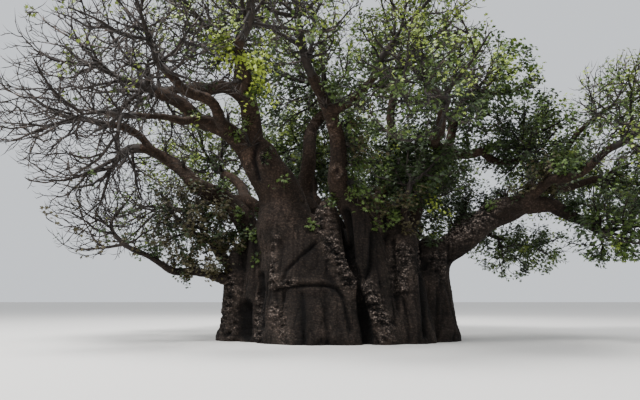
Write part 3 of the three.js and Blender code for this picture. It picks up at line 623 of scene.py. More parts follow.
def tubes(lines, radii, sides):
    """Closed pointed tubes: lines is (count, rings, 3) and radii (count, rings)."""
    count, rings = radii.shape
    leads = unit(np.gradient(lines, axis=1))
    across = unit(np.cross(leads, NEARLY_UP))
    upward = np.cross(across, leads)
    turns = np.arange(sides) * 2 * math.pi / sides
    ring = across[:, :, None] * np.cos(turns)[:, None] + upward[:, :, None] * np.sin(turns)[:, None]
    walls = lines[:, :-1, None] + ring[:, :-1] * radii[:, :-1, None, None]
    vertices = np.concatenate([walls.reshape(count, -1, 3), lines[:, -1:]], axis=1)
    tip = (rings - 1) * sides
    faces = []
    for side in range(sides):
        other = (side + 1) % sides
        for r in range(rings - 2):
            low, high = r * sides, (r + 1) * sides
            faces += [(low + side, low + other, high + other), (low + side, high + other, high + side)]
        faces.append((tip - sides + side, tip - sides + other, tip))
    faces += [(0, side + 1, side) for side in range(1, sides - 1)]
    starts = np.arange(count)[:, None, None] * (tip + 1)
    return vertices.reshape(-1, 3), (np.array(faces)[None] + starts).reshape(-1, 3)


def joined(parts):
    """Several (vertices, triangles) as one."""
    vertices, triangles, start = [], [], 0
    for part_vertices, part_triangles in parts:
        vertices.append(part_vertices)
        triangles.append(part_triangles + start)
        start += len(part_vertices)
    return np.concatenate(vertices), np.concatenate(triangles)


TWIG_RINGS, MAIN_RINGS = 4, 9
TWIG_SIDES, MAIN_SIDES = 3, 6
RING_SHARES = np.linspace(0, 1, TWIG_RINGS)
WIGGLE = 0.045
WIGGLE_PACE = (1.0, 1.9)


def twig_lines(curves, rng):
    """Curves of three points as rows of places, with a wiggle that is still at both ends."""
    s = RING_SHARES[None, :, None]
    a, b, c = curves[:, None, 0], curves[:, None, 1], curves[:, None, 2]
    lines = a * (1 - s) ** 2 + 2 * b * s * (1 - s) + c * s**2
    length = lengths(curves[:, 2] - curves[:, 0])[:, None, None]
    phase = rng.uniform(0, 2 * math.pi, (len(curves), 1, 3))
    pace = rng.uniform(*WIGGLE_PACE, (len(curves), 1, 3))
    wiggle = np.sin(2 * math.pi * pace * s + phase) * np.sin(math.pi * s)
    return lines + WIGGLE * length * wiggle


def with_more_rings(lines, radii):
    """The same twigs with the rings of a thick one."""
    t = np.linspace(0, 1, MAIN_RINGS)
    columns = [[np.interp(t, RING_SHARES, column) for column in line.T] for line in lines]
    return np.array(columns).transpose(0, 2, 1), np.array([np.interp(t, RING_SHARES, row) for row in radii])


SHOOT_RADII = 0.0135 * np.array([1, 0.8, 0.5])
SHOOT_SAG = 0.055
SHOOT_GAP = 0.26
SHOOT_COUNTS = (2, 6)  # the fewest and the most on a twig
SHOOT_SHIFT = 0.6  # of the first shoot, at most, in steps from one to the next
SHOOT_SPAN = 0.75  # the outer share of a twig that bears them
SHOOT_LENGTHS = (0.2, 0.6)
SHOOT_TURN = 0.8
SHOOT_SWAY, SHOOT_LIFT = (0.3, 1.0), (0.0, 0.9)
SHOOT_CLEARANCE, SHOOT_MARGIN, SHOOT_REACH = 0.02, -0.03, 1.04


def grow_shoots(lines, index, rng):
    """Where the short fine shoots along the outer part of each twig start and end."""
    starts, tips = [], []
    for line, length in zip(lines[1:], lengths(lines[1:, -1] - lines[1:, 0])):
        count = int(np.clip(round(length / SHOOT_GAP), *SHOOT_COUNTS))
        steps = np.arange(count) + rng.uniform(0, SHOOT_SHIFT)
        place = (1 - steps / (count + SHOOT_SHIFT) * SHOOT_SPAN) * (len(line) - 1)
        low = np.minimum(place.astype(int), len(line) - 2)
        part = (place - low)[:, None]
        start = line[low] * (1 - part) + line[low + 1] * part
        lead = unit(line[low + 1] - line[low])
        side = unit(np.cross(lead, NEARLY_UP))
        turns = np.where(np.arange(count) % 2 == 0, 1.0, -1.0)[:, None]
        sway = turns * rng.uniform(*SHOOT_SWAY, (count, 1))
        lift = rng.uniform(*SHOOT_LIFT, (count, 1))
        way = unit(lead + side * SHOOT_TURN * sway + UP * SHOOT_TURN * lift)
        starts.append(start)
        tips.append(start + way * rng.uniform(*SHOOT_LENGTHS, (count, 1)))
    starts, tips = np.concatenate(starts), np.concatenate(tips)
    ok = clear(tips, index, SHOOT_CLEARANCE, SHOOT_MARGIN, SHOOT_REACH)
    return starts[ok], tips[ok]


SPRAY_LEAVES = 6
SPRAY_START, SPRAY_STEP = 0.01, 0.06  # how far back from the tip the leaves of a spray sit
LEAF_UNEVEN = (0.7, 1.3)
LEAF_STALK = (0.05, 0.13)
LEAF_RAISE = 0.02
LEAF_LEAN, LEAF_RISE = 0.35, (-0.35, 0.25)
LEAF_FACING, LEAF_FACING_UP, LEAF_TILT = 0.5, 0.9, 0.25
LEAF_SCALE = (0.75, 1.2)
LEAFLET_FAN = np.radians([-86, -44, 0, 44, 86])
LEAFLET_SIZES = np.array([0.62, 0.88, 1.0, 0.88, 0.62]) * 0.12
LEAFLET_WIDTH = 0.44
LEAFLET_DROOP = (0.05, 0.4)
BELLY, BELLY_DROOP, BELLY_RAISE = 0.55, 0.35, 0.06  # where a leaflet is widest, as shares of its length
LEAFLET_TRIANGLES = np.array([[0, 2, 1], [0, 3, 2]])


def leaves_on(places, axes, leaf_sizes, rng):
    """Sprays of palmate leaves: each leaflet is two triangles folded along its rib."""
    count = len(places)
    each = (count, SPRAY_LEAVES, 1)
    side = unit(np.cross(axes, NEARLY_UP))
    front = np.cross(side, axes)
    j = np.arange(SPRAY_LEAVES)
    turn = j * GOLDEN_ANGLE + rng.uniform(0, 2 * math.pi, (count, 1))
    out = side[:, None] * np.cos(turn)[..., None] + front[:, None] * np.sin(turn)[..., None]
    back = (SPRAY_START + SPRAY_STEP * j)[None, :, None] * rng.uniform(*LEAF_UNEVEN, each)
    stalk = rng.uniform(*LEAF_STALK, each)
    centre = places[:, None] - axes[:, None] * back + out * stalk + UP * LEAF_RAISE
    way = unit(out + LEAF_LEAN * axes[:, None] + rng.uniform(*LEAF_RISE, each) * UP)
    tilt = rng.normal(0, LEAF_TILT, (count, SPRAY_LEAVES, 3))
    normal = unit(axes[:, None] * LEAF_FACING + UP * LEAF_FACING_UP + tilt)
    across = unit(np.cross(normal, way))
    normal = np.cross(way, across)
    centre, way, across, normal = (v.reshape(-1, 1, 3) for v in (centre, way, across, normal))
    total = len(centre)
    scale = rng.uniform(*LEAF_SCALE, (total, 1, 1)) * np.repeat(leaf_sizes, SPRAY_LEAVES)[:, None, None]
    along = way * np.cos(LEAFLET_FAN)[:, None] + across * np.sin(LEAFLET_FAN)[:, None]
    wide = across * np.cos(LEAFLET_FAN)[:, None] - way * np.sin(LEAFLET_FAN)[:, None]
    droop = rng.uniform(*LEAFLET_DROOP, (total, 1, 1))
    length = LEAFLET_SIZES[:, None] * scale
    tip = centre + (along - normal * droop) * length
    belly = centre + (along * BELLY - normal * droop * BELLY_DROOP + normal * BELLY_RAISE) * length
    left = belly + wide * length * LEAFLET_WIDTH / 2
    right = belly - wide * length * LEAFLET_WIDTH / 2
    base = np.broadcast_to(centre, tip.shape)
    vertices = np.stack([base, left, tip, right], axis=2).reshape(-1, 3)
    start = np.arange(total * len(LEAFLET_FAN))[:, None, None] * 4
    return vertices, (LEAFLET_TRIANGLES[None] + start).reshape(-1, 3)


# Materials.

# Each colour ramp: the places of its stops and the colours there.
# The dark and warm bark ramps follow the bark's height: painted shade in its creases and grooves, painted
# highlight on its raised parts. Both are also kept darker overall than the bark's own colour, as painted
# shade from the crown.
DARK_SHADED_STOPS = [
    (0.0, (0.0026, 0.0021, 0.0017)),
    (0.35, (0.0088, 0.0068, 0.0055)),
    (0.6, (0.0168, 0.0134, 0.0111)),
    (1.0, (0.046, 0.037, 0.031)),
]
WARM_SHADED_STOPS = [
    (0.0, (0.004, 0.0027, 0.002)),
    (0.35, (0.0122, 0.0081, 0.0061)),
    (0.6, (0.026, 0.018, 0.013)),
    (1.0, (0.072, 0.05, 0.037)),
]
# The knob and cap ramps paint highlights on the tops of knobs and shade between them.
KNOB_HIGHLIGHT_STOPS = [
    (0.25, (0.0055, 0.0043, 0.0036)),
    (0.5, (0.021, 0.0165, 0.014)),
    (0.75, (0.07, 0.057, 0.05)),
    (1.0, (0.21, 0.175, 0.155)),
]
CAP_HIGHLIGHT_STOPS = [(0.1, (2.1, 2.02, 1.97)), (0.36, (0.76, 0.75, 0.74)), (0.62, (0.16, 0.15, 0.14))]
PATCH_STOPS = [(0.36, (0.7, 0.68, 0.66)), (0.64, (1.35, 1.22, 1.15))]
PATCHINESS, FLECKINESS = 0.8, 0.85
FLECK_STOPS = [(0.34, (0.5, 0.48, 0.47)), (0.54, (0.95, 0.93, 0.91)), (0.68, (2.5, 2.35, 2.2))]
TWIG_STOPS = [(0.36, (0.008, 0.0057, 0.0045)), (0.54, (0.023, 0.0163, 0.0128)), (0.68, (0.095, 0.073, 0.061))]
STEM_STOPS = [
    (0.36, (0.0085, 0.0058, 0.0044)),
    (0.52, (0.019, 0.0131, 0.0099)),
    (0.68, (0.032, 0.0225, 0.0172)),
]
LEAF_SHADES = [(0.3, 0.78), (0.7, 1.2)]  # of a leaf's own colour
FLOOR_COLOUR = (0.66, 0.64, 0.61, 1)


class Look:
    """A material, and short ways to add nodes to it."""

    def __init__(self, name):
        self.material = bpy.data.materials.new(name)
        self.material.use_nodes = True
        self.tree = self.material.node_tree

    def fill(self, node, inputs):
        """Set each input to a value, or join it to another node's output."""
        for name, value in inputs.items():
            if isinstance(value, bpy.types.NodeSocket):
                self.tree.links.new(value, node.inputs[name])
            else:
                node.inputs[name].default_value = value

    def add(self, kind, output, inputs=None, **settings):
        """An output of a new node."""
        node = self.tree.nodes.new("ShaderNode" + kind)
        for name, value in settings.items():
            setattr(node, name, value)
        self.fill(node, inputs or {})
        return node.outputs[output]

    def texture(self, kind, output, stretch, **inputs):
        place = self.add("Mapping", "Vector", {"Vector": self.add("TexCoord", "Object"), "Scale": stretch})
        return self.add(kind, output, {"Vector": place, **inputs})

    def noise(self, scale, detail, stretch=(1, 1, 1)):
        return self.texture("TexNoise", "Fac", stretch, Scale=scale, Detail=detail, Roughness=0.55)

    def ramp(self, source, stops):
        node = self.tree.nodes.new("ShaderNodeValToRGB")
        elements = node.color_ramp.elements
        while len(elements) < len(stops):
            elements.new(0.5)
        for element, (place, colour) in zip(elements, stops):
            element.position = place
            element.color = (*colour, 1)
        self.fill(node, {"Fac": source})
        return node.outputs["Color"]

    def mixed(self, factor, a, b, blend="MIX"):
        inputs = {"Factor": factor, "A": a, "B": b}
        return self.add("Mix", "Result", inputs, data_type="RGBA", blend_type=blend)

    def bump(self, height, strength, distance, **below):
        inputs = {"Height": height, "Strength": strength, "Distance": distance, **below}
        return self.add("Bump", "Normal", inputs)

    def finished(self, inputs):
        """The material, with the inputs of its shader."""
        self.fill(self.tree.nodes["Principled BSDF"], inputs)
        return self.material


BARK_VALUES = ("relief", "gnarl", "warm", "knob_highlight")


def bark_material():
    look = Look("folded_bark")
    relief, gnarl, warm, knob_highlight = (look.add("Attribute", "Fac", attribute_name=name) for name in BARK_VALUES)
    fine = look.noise(scale=15.0, detail=6.0, stretch=(1, 1, 1.2))
    pits = look.texture("TexVoronoi", "Distance", (1, 1, 1.25), Scale=12.0)
    patches = look.ramp(look.noise(scale=1.6, detail=5.0), PATCH_STOPS)
    # Gnarled bark's pale knobs: partly its own grey-pink colour, partly a painted highlight on each knob's
    # cap with painted shade at its edges.
    highlit_knobs = look.mixed(1.0, look.ramp(knob_highlight, KNOB_HIGHLIGHT_STOPS), look.ramp(pits, CAP_HIGHLIGHT_STOPS), "MULTIPLY")
    # Painted shade and highlight: the bark is darker where it lies low and paler where it stands high.
    colour = look.mixed(warm, look.ramp(relief, DARK_SHADED_STOPS), look.ramp(relief, WARM_SHADED_STOPS))
    colour = look.mixed(PATCHINESS, colour, patches, "MULTIPLY")
    colour = look.mixed(gnarl, colour, highlit_knobs)
    colour = look.mixed(FLECKINESS, colour, look.ramp(fine, FLECK_STOPS), "MULTIPLY")
    wrinkles = look.noise(scale=5.0, detail=5.0, stretch=(1, 1, 3.2))
    normal = look.bump(wrinkles, strength=0.7, distance=0.05)
    normal = look.bump(fine, strength=0.8, distance=0.035, Normal=normal)
    depth = look.add("Math", "Value", {0: pits, 1: gnarl}, operation="MULTIPLY")
    normal = look.bump(depth, strength=1.0, distance=-0.07, Normal=normal)
    return look.finished(
        {"Base Color": colour, "Normal": normal, "Roughness": 0.92, "Specular IOR Level": 0.2}
    )


def twig_material(name, stops):
    look = Look(name)
    colour = look.ramp(look.noise(scale=4.0, detail=4.0), stops)
    normal = look.bump(look.noise(scale=30.0, detail=3.0), strength=0.5, distance=0.01)
    return look.finished({"Base Color": colour, "Normal": normal, "Roughness": 0.88})


def leaf_material(name, colour):
    look = Look(name)
    stops = [(place, tuple(part * value for value in colour)) for place, part in LEAF_SHADES]
    colour = look.ramp(look.noise(scale=6.0, detail=2.0), stops)
    return look.finished({"Base Color": colour, "Roughness": 0.5, "Specular IOR Level": 0.35})


BARK = bark_material()
TWIG_BARKS = [twig_material("twig_bark", TWIG_STOPS), twig_material("stem_bark", STEM_STOPS)]
LEAVES = [leaf_material(name, colour) for name, colour in LEAF_COLOURS.items()]

# Bark: the trunk and boughs as one skin, drawn where a field of distances is nought.

VOXEL = 0.05
FIELD_LOW = np.array([-10.2, -6.2, -0.4])
FIELD_HIGH = np.array([10.9, 6.4, 10.8])
FIELD_SIZE = np.ceil((FIELD_HIGH - FIELD_LOW) / VOXEL).astype(int)
BAND = 0.35  # distances past this are cut off
STEM_BLEND = 0.2  # how softly two stems of the trunk run together
HEART_BLEND = 0.3
BLEND_SHARE = 0.45  # how softly a bough leaves what carries it, as a share of its root's radius
LEAST_BLEND = 0.06
CREASED = {"centre": 0.05}  # boughs that keep a sharp crease instead


def window_of(low, high):
    """The part of the field between two corners, and the places of its cells."""
    first = np.maximum(((low - FIELD_LOW) / VOXEL).astype(int), 0)
    last = np.minimum(((high - FIELD_LOW) / VOXEL).astype(int) + 2, FIELD_SIZE)
    window = tuple(slice(a, b) for a, b in zip(first, last))
    axes = [FIELD_LOW[axis] + VOXEL * np.arange(first[axis], last[axis]) for axis in range(3)]
    return window, np.stack(np.meshgrid(*axes, indexing="ij"), axis=-1).astype(np.float32)


def blend(field, window, own, softness):
    part = field[window]
    near = np.maximum(softness - np.abs(part - own), 0) / softness
    field[window] = np.minimum(part, own) - near * near * softness / 4


def add_line(field, line, softness):
    pad = BAND + line.radii.max()
    whole, _ = window_of(line.places.min(axis=0) - pad, line.places.max(axis=0) + pad)
    own = np.full([part.stop - part.start for part in whole], BAND, dtype=np.float32)
    for a, b, ra, rb in zip(line.places, line.places[1:], line.radii, line.radii[1:]):
        pad = BAND + max(ra, rb)
        window, cells = window_of(np.minimum(a, b) - pad, np.maximum(a, b) + pad)
        way = b - a
        t = np.clip((cells - a) @ way / (way @ way), 0, 1)
        gap = lengths(cells - a - t[..., None] * way) - (ra + t * (rb - ra))
        inner = tuple(slice(w.start - o.start, w.stop - o.start) for w, o in zip(window, whole))
        own[inner] = np.minimum(own[inner], gap)
    blend(field, whole, own, softness)


def bark_skin():
    field = np.full(FIELD_SIZE, BAND, dtype=np.float32)
    radii = np.array(HEART_RADII)
    window, cells = window_of(-radii - BAND, radii + BAND)
    stretched = lengths(cells / radii)
    slope = lengths(cells / radii**2) / np.maximum(stretched, TINY)
    field[window] = np.clip((stretched - 1) / np.maximum(slope, TINY), -BAND, BAND)
    for number, stem in enumerate(TRUNK_STEMS):
        add_line(field, trunk_line(stem), HEART_BLEND if number == 0 else STEM_BLEND)
    for name, line in limbs.items():
        softness = np.clip(BLEND_SHARE * BOUGHS[name].radii[0], LEAST_BLEND, BAND)
        add_line(field, line, CREASED.get(name, softness))
    grid = openvdb.FloatGrid(BAND)
    grid.copyFromArray(np.clip(field, -BAND, BAND))
    points, quads = grid.convertToQuads(isovalue=0)
    return FIELD_LOW + VOXEL * points.astype(float), quads


# Marks on the seen side of the trunk: paths in X and Z, with a half width and a height (a groove's is
# negative) and how gnarled they are.
Mark = namedtuple("Mark", "path width height gnarl", defaults=(0,))
MARKS = [
    Mark([(-0.7, 4.7), (-0.47, 3.81), (-0.06, 2.79), (0.32, 2.21), (0.59, 1.98)], 0.26, 0.13, 1.0),
    Mark([(0.89, 1.94), (1.17, 1.4), (1.44, 0.75), (1.51, 0.3)], 0.24, 0.15, 1.0),
    Mark([(2.2, 3.1), (2.26, 2.1)], 0.36, 0.05, 0.9),
    Mark([(3.6, 3.1), (3.72, 2.5)], 0.24, 0.03, 0.8),
    Mark([(-3.9, 2.3), (-4.1, 0.2)], 0.3, 0.04, 0.9),
    Mark([(-2.8, 1.7), (-2.85, 0.2)], 0.14, 0.04, 0.7),
    Mark([(-2.2, 3.7), (-2.25, 1.9)], 0.12, 0.05, 0.8),
    Mark([(-2.2, 1.2), (-1.9, 0.2)], 0.2, 0.03, 0.6),
    Mark(
        [(-2.2, 1.84), (-1.59, 1.98), (-0.57, 2.01), (-0.13, 1.87), (0.11, 1.57), (0.35, 0.48)],
        0.06, -0.1,
    ),
    Mark([(-2.2, 1.98), (-1.6, 2.1)], 0.11, 0.06, 0.9),
    Mark([(-1.6, 2.12), (-0.57, 2.15), (0.0, 1.98)], 0.07, 0.03),
    Mark([(-0.81, 3.44), (-1.42, 2.9), (-1.83, 2.49), (-1.95, 2.1)], 0.06, -0.09),
    Mark([(0.21, 4.5), (0.38, 2.76), (0.62, 2.21), (0.72, 1.64), (0.89, 0.62), (0.92, 0.1)], 0.12, -0.3),
    Mark([(1.14, 3.8), (1.07, 2.79), (0.83, 2.08)], 0.08, -0.15),
    Mark([(-3.34, 1.3), (-3.34, 0.3)], 0.15, -0.5),
    Mark([(-2.75, 2.4), (-2.7, 0.6)], 0.09, -0.2),
    Mark([(-1.25, 1.7), (-1.2, 0.0)], 0.08, -0.07),
    Mark([(-0.5, 1.75), (-0.42, 0.0)], 0.08, -0.06),
    Mark([(1.9, 3.6), (2.0, 1.2)], 0.07, -0.09),
    Mark([(2.9, 3.5), (2.95, 0.3)], 0.09, -0.14),
    Mark([(-2.85, 7.0), (-2.98, 6.4), (-2.8, 5.7)], 0.08, -0.1),
    Mark([(-2.66, 6.5), (-2.62, 6.25)], 0.13, 0.07, 1.0),
    Mark([(-3.3, 6.6), (-3.15, 6.1)], 0.14, 0.05, 0.6),
    Mark([(-0.26, 5.85), (-0.12, 5.98), (0.04, 5.88), (0.05, 5.72), (-0.1, 5.62)], 0.06, 0.07, 0.7),
    Mark([(-0.11, 5.8), (-0.08, 5.76)], 0.07, -0.06),
    Mark([(-0.62, 7.26), (-0.2, 7.22)], 0.06, 0.05, 0.6),
    Mark([(-0.6, 6.86), (-0.16, 6.84)], 0.06, 0.04, 0.6),
]
RAGGED, RAGGED_MORE = 0.75, 1.1
GNARL_SPREAD = 1.7

# Where parts of the bark's relief begin, and the distance over which they come in.
TRUNK_TOP, TRUNK_EDGE = (5.4, -1.4), (5.2, -0.9)
SEEN_FRONT = (0.2, -1)
MARKS_TOP = (8.4, -1)
CREASES_TOP = (4.0, -1.2)
ARCH_TOP, ARCH_FOOT = (6.0, -0.6), (3.2, 0.5)
WARM_FROM = (3.6, 2.5)
ARCH_MIDDLE, ARCH_WIDTH = 4.9, 1.1
CREASE_WIDTH, FLUTE_WIDTH = 0.06, 0.09
FACING_START, FACING_RISE = 0.2, 2
FOLD_RISE, FOLD_LOSS = 1.5, 0.2
PATCH_RISE, PATCH_LOSS, PATCH_MOST = 2.6, 0.7, 0.8
# How the arch bough's faces turned up and to the front are painted pale as a highlight, and made gnarled and
# knobblier.
ARCH_UP, ARCH_FRONT, ARCH_GAIN = 1.2, 0.6, 0.15
ROLL_SLOPE, BEAD_SLOPE = 3.2, 3.0
# The knob value is painted highlight: paler where rolls, beads and warts stand high and where the arch bough
# faces up.
KNOB_MIDDLE, KNOB_PARTS = 0.5, (0.2, 0.3, 0.25, 0.25)  # of the arch, rolls, beads and warts
MARK_DEPTH = 0.12  # a groove as deep as this isn't gnarled
OFF_TRUNK = 0.35  # how much of the relief the boughs have, against the trunk
OFF_TRUNK_PATCH = 0.3
SEEN_PATCH = 0.85  # how much of the patches the seen side lacks
LUMP_HEIGHT, CREASE_DEPTH, FLUTE_DEPTH = 0.05, 0.1, 0.035
# The height of rolls, beads and warts on plain bark, and how much higher they are on gnarled bark.
BUMP_HEIGHTS = [(0.006, 0.045), (0.006, 0.04), (0.005, 0.02)]
# Low bark takes the dark end of the ramps as painted shade, and high bark the pale end as painted highlight.
RELIEF_MIDDLE, RELIEF_RANGE = 0.6, 0.16  # how the height becomes a place in the colour ramps


def coming_in(values, begin, over):
    """From 0 at the value begin to 1 at begin + over."""
    return np.clip((values - begin) / over, 0, 1)


def marks_at(places, facing):
    """The height and gnarl that the marks give each place, where facing is 1 on the seen side."""
    flat = places[:, [0, 2]]
    height = np.zeros(len(places))
    gnarl = np.zeros(len(places))
    ragged = RAGGED + RAGGED_MORE * noise_at(places, "ragged")
    for mark in MARKS:
        path = np.array(mark.path)
        near = np.full(len(places), np.inf)
        for a, b in zip(path, path[1:]):
            way = b - a
            t = np.clip((flat - a) @ way / (way @ way), 0, 1)
            near = np.minimum(near, lengths(flat - a - t[:, None] * way))
        weight = np.exp(-((near / mark.width) ** 2)) * facing
        height += mark.height * weight
        gnarl = np.maximum(gnarl, mark.gnarl * np.clip(GNARL_SPREAD * weight * ragged, 0, 1))
    return height, gnarl


def carve(places, normals):
    """Each place moved by the bark's relief, how high it stands, how gnarled it is, and how pale its knobs
    are painted, as highlight where the bark stands high or faces up.
    """
    x, y, z = places.T
    on_trunk = coming_in(z, *TRUNK_TOP) * coming_in(np.abs(x), *TRUNK_EDGE)
    facing = np.clip(FACING_START - FACING_RISE * normals[:, 1], 0, 1) * coming_in(y, *SEEN_FRONT)
    mark_height, gnarl = marks_at(places, facing * coming_in(z, *MARKS_TOP))
    gnarl *= 1 - np.clip(-mark_height / MARK_DEPTH, 0, 1)
    deep = 0.5 + 0.5 * noise_at(places, "fold_depth")
    crease = np.exp(-((noise_at(places, "fold") / CREASE_WIDTH) ** 2))
    crease = crease * np.clip(deep * FOLD_RISE - FOLD_LOSS, 0, 1) * coming_in(z, *CREASES_TOP)
    flute = np.exp(-((noise_at(places, "flute") / FLUTE_WIDTH) ** 2))
    patch = np.clip(PATCH_RISE * noise_at(places, "patch") - PATCH_LOSS, 0, PATCH_MOST)
    patch = patch * (OFF_TRUNK_PATCH + (1 - OFF_TRUNK_PATCH) * on_trunk) * (1 - SEEN_PATCH * facing)
    # Painted highlight on the arch bough where it faces up and to the front; it also gnarls the bark there,
    # which raises its knobs.
    arch = np.clip(ARCH_UP * normals[:, 2] - ARCH_FRONT * normals[:, 1] + ARCH_GAIN, 0, 1)
    arch = arch * np.exp(-(((x - ARCH_MIDDLE) / ARCH_WIDTH) ** 2))
    arch = arch * coming_in(z, *ARCH_TOP) * coming_in(z, *ARCH_FOOT)
    gnarl = np.maximum(np.maximum(gnarl, patch), arch)
    rolls = 1 - ROLL_SLOPE * np.abs(noise_at(places, "rolls"))
    beads = 1 - BEAD_SLOPE * np.abs(noise_at(places, "beads"))
    warts = noise_at(places, "warts")
    # Painted highlight on the knobs, from the arch's facing and the heights of rolls, beads and warts.
    knob_highlight = KNOB_MIDDLE
    for part, values in zip(KNOB_PARTS, (arch, rolls, beads, warts)):
        knob_highlight = knob_highlight + part * values
    size = OFF_TRUNK + (1 - OFF_TRUNK) * on_trunk
    rise = LUMP_HEIGHT * noise_at(places, "lumps") * size
    relief = rise - CREASE_DEPTH * crease * size * on_trunk - FLUTE_DEPTH * flute * size + mark_height
    roll, bead, wart = (plain + more * gnarl * size for plain, more in BUMP_HEIGHTS)
    relief += roll * rolls + bead * beads
    relief += wart * warts
    return places + normals * relief[:, None], relief, gnarl, np.clip(knob_highlight, 0, 1)


def skin_mesh():
    points, quads = bark_skin()
    mesh = new_mesh("skin", points, quads)
    body = bmesh.new()
    body.from_mesh(mesh)
    bmesh.ops.recalc_face_normals(body, faces=body.faces)
    body.to_mesh(mesh)
    body.free()
    normals = np.zeros(len(points) * 3, dtype=np.float32)
    mesh.vertices.foreach_get("normal", normals)
    places, relief, gnarl, knob_highlight = carve(points, normals.reshape(-1, 3).astype(float))
    mesh.vertices.foreach_set("co", places.astype(np.float32).ravel())
    warm = coming_in(places[:, 2], *WARM_FROM)
    # Each point's place in the colour ramps, for painted shade on low bark and painted highlight on high
    # bark.
    depth = np.clip(RELIEF_MIDDLE + relief / RELIEF_RANGE, 0, 1)
    for name, values in zip(BARK_VALUES, (depth, gnarl, warm, knob_highlight)):
        attribute = mesh.attributes.new(name, "FLOAT", "POINT")
        attribute.data.foreach_set("value", values.astype(np.float32))
    mesh.update()
    return mesh


def cut_piece(skin, name, cuts, nodes):
    """The part of the skin on the inner side of each cut (a place and an outward direction)."""
    body = bmesh.new()
    body.from_mesh(skin)
    for place, outward in cuts:
        everything = body.verts[:] + body.edges[:] + body.faces[:]
        cut = {"plane_co": place, "plane_no": outward, "clear_outer": True}
        made = bmesh.ops.bisect_plane(body, geom=everything, **cut)
        rim = [edge for edge in made["geom_cut"] if isinstance(edge, bmesh.types.BMEdge)]
        filled = bmesh.ops.holes_fill(body, edges=rim, sides=0)
        for edge in rim:
            edge.smooth = False
        bmesh.ops.triangulate(body, faces=filled["faces"])
    mesh = bpy.data.meshes.new(name)
    body.to_mesh(mesh)
    body.free()
    mesh.materials.append(BARK)
    mesh.polygons.foreach_set("use_smooth", np.ones(len(mesh.polygons), dtype=bool))
    piece = add_object(name, mesh)
    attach(piece, "root")
    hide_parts(*nodes)


LEFT_CUT, RIGHT_CUT, TOP_CUT, WAIST_CUT = -4.9, 5.2, 5.3, 2.2


def above(height):
    return (0, 0, height), (0, 0, -1)


def below(height):
    return (0, 0, height), (0, 0, 1)


skin = skin_mesh()
sides = [((LEFT_CUT, 0, 0), (-1, 0, 0)), ((RIGHT_CUT, 0, 0), (1, 0, 0))]
bough_nodes = ["main_stem"] + ["bough_" + name for name in BOUGHS if name != "main_stem"]
right_nodes = [name for name in bough_nodes if "right" in name or "arch" in name]
left_nodes = [name for name in bough_nodes if "left" in name]
middle_nodes = [name for name in bough_nodes if name not in right_nodes + left_nodes]
cut_piece(skin, "trunk_foot", [above(0), below(WAIST_CUT), *sides], ["trunk"])
cut_piece(skin, "trunk_crown", [above(WAIST_CUT), below(TOP_CUT), *sides], ["trunk"])
cut_piece(skin, "middle_boughs", [above(TOP_CUT), *sides], middle_nodes)
cut_piece(skin, "left_boughs", [((LEFT_CUT, 0, 0), (1, 0, 0))], left_nodes)
cut_piece(skin, "right_boughs", [((RIGHT_CUT, 0, 0), (-1, 0, 0))], right_nodes)

# Twigs and leaves, joined by side.

GROUPS = {
    "left_high": ("left_upper", "left_level", "left_front", "crown_left"),
    "left_low": ("left_low", "left_far", "left_skirt", "left_reach", "left_front_low"),
    "left_back": ("left_back", "left_back_low"),
    "middle": ("top", "centre", "upright", "front"),
    "right_near": ("centre_right", "front_right", "centre_low", "right_upper"),
    "right_far": ("right_mid", "right_rise", "right_level", "arch_fall", "right_front"),
    "back": ("back_centre",),
    "back_right": ("back_right",),
    "back_low": ("right_back", "right_back_low"),
}
THICK_TWIG = 0.035  # twigs with a thicker root have more rings and sides, and the stems' bark
# The crown's middle and reach, against which leaves inside are dealt darker kinds as painted shade.
CROWN_MIDDLE = np.array([0.0, 0.0, 5.5])
CROWN_REACH = np.array([12.5, 9.0, 7.0])
CLUMPING = (1.3, 1.4)
MOST_CLUMPED = 2.2
LEAF_POWER = 1.5
LEAF_LOSS = 0.018  # leaves a nearly bare mass with hardly any
# Painted shade: sprays deeper inside the crown are dealt darker leaf kinds, and outer ones fresher, paler
# kinds as if lit; noise and chance add tone that differs at random.
CROWN_SHADE_WEIGHT, TONE_NOISE, TONE_UNEVEN = 1.3, 0.5, 0.12
TONE_STEPS = (-1.17, -0.84)  # between fresh, green and deep leaves
OLIVE_MASSES = ("left_skirt", "left_reach")
OLIVE_SHARE = 0.6
NEAR_MASSES = ("front", "centre", "centre_right", "front_right", "left_front", "right_front")
NEAR_LEAF = 0.75  # size of their leaves, against the others
TUFT_LEAF = 0.85  # size of the leaves on tufts


def sprays_of(name, starts, ends, rng):
    """The sprays of leaves at the ends of a mass's twigs: their places, axes, kinds and sizes."""
    mass = MASSES[name]
    clump = 1 + CLUMPING[0] * noise_at(ends, "wide_clumps") + CLUMPING[1] * noise_at(ends, "small_clumps")
    leafy = (mass.leaf**LEAF_POWER - LEAF_LOSS) * mass.sprays
    in_leaf = rng.uniform(0, 1, len(ends)) < leafy * np.clip(clump, 0, MOST_CLUMPED)
    ends = ends[in_leaf]
    count = len(ends)
    outness = lengths((ends - CROWN_MIDDLE) / CROWN_REACH)
    # Painted shade inside the crown and painted light at its edge, with random tone.
    tone = CROWN_SHADE_WEIGHT * outness + TONE_NOISE * noise_at(ends, "tone") + rng.normal(0, TONE_UNEVEN, count)
    kinds = np.digitize(mass.deeper - tone, TONE_STEPS)
    if name in OLIVE_MASSES:
        kinds = np.where(rng.uniform(0, 1, count) < OLIVE_SHARE, OLIVE, DEEP)
    sizes = np.full(count, NEAR_LEAF if name in NEAR_MASSES else 1.0)
    return ends, unit(ends - starts[in_leaf]), kinds, sizes


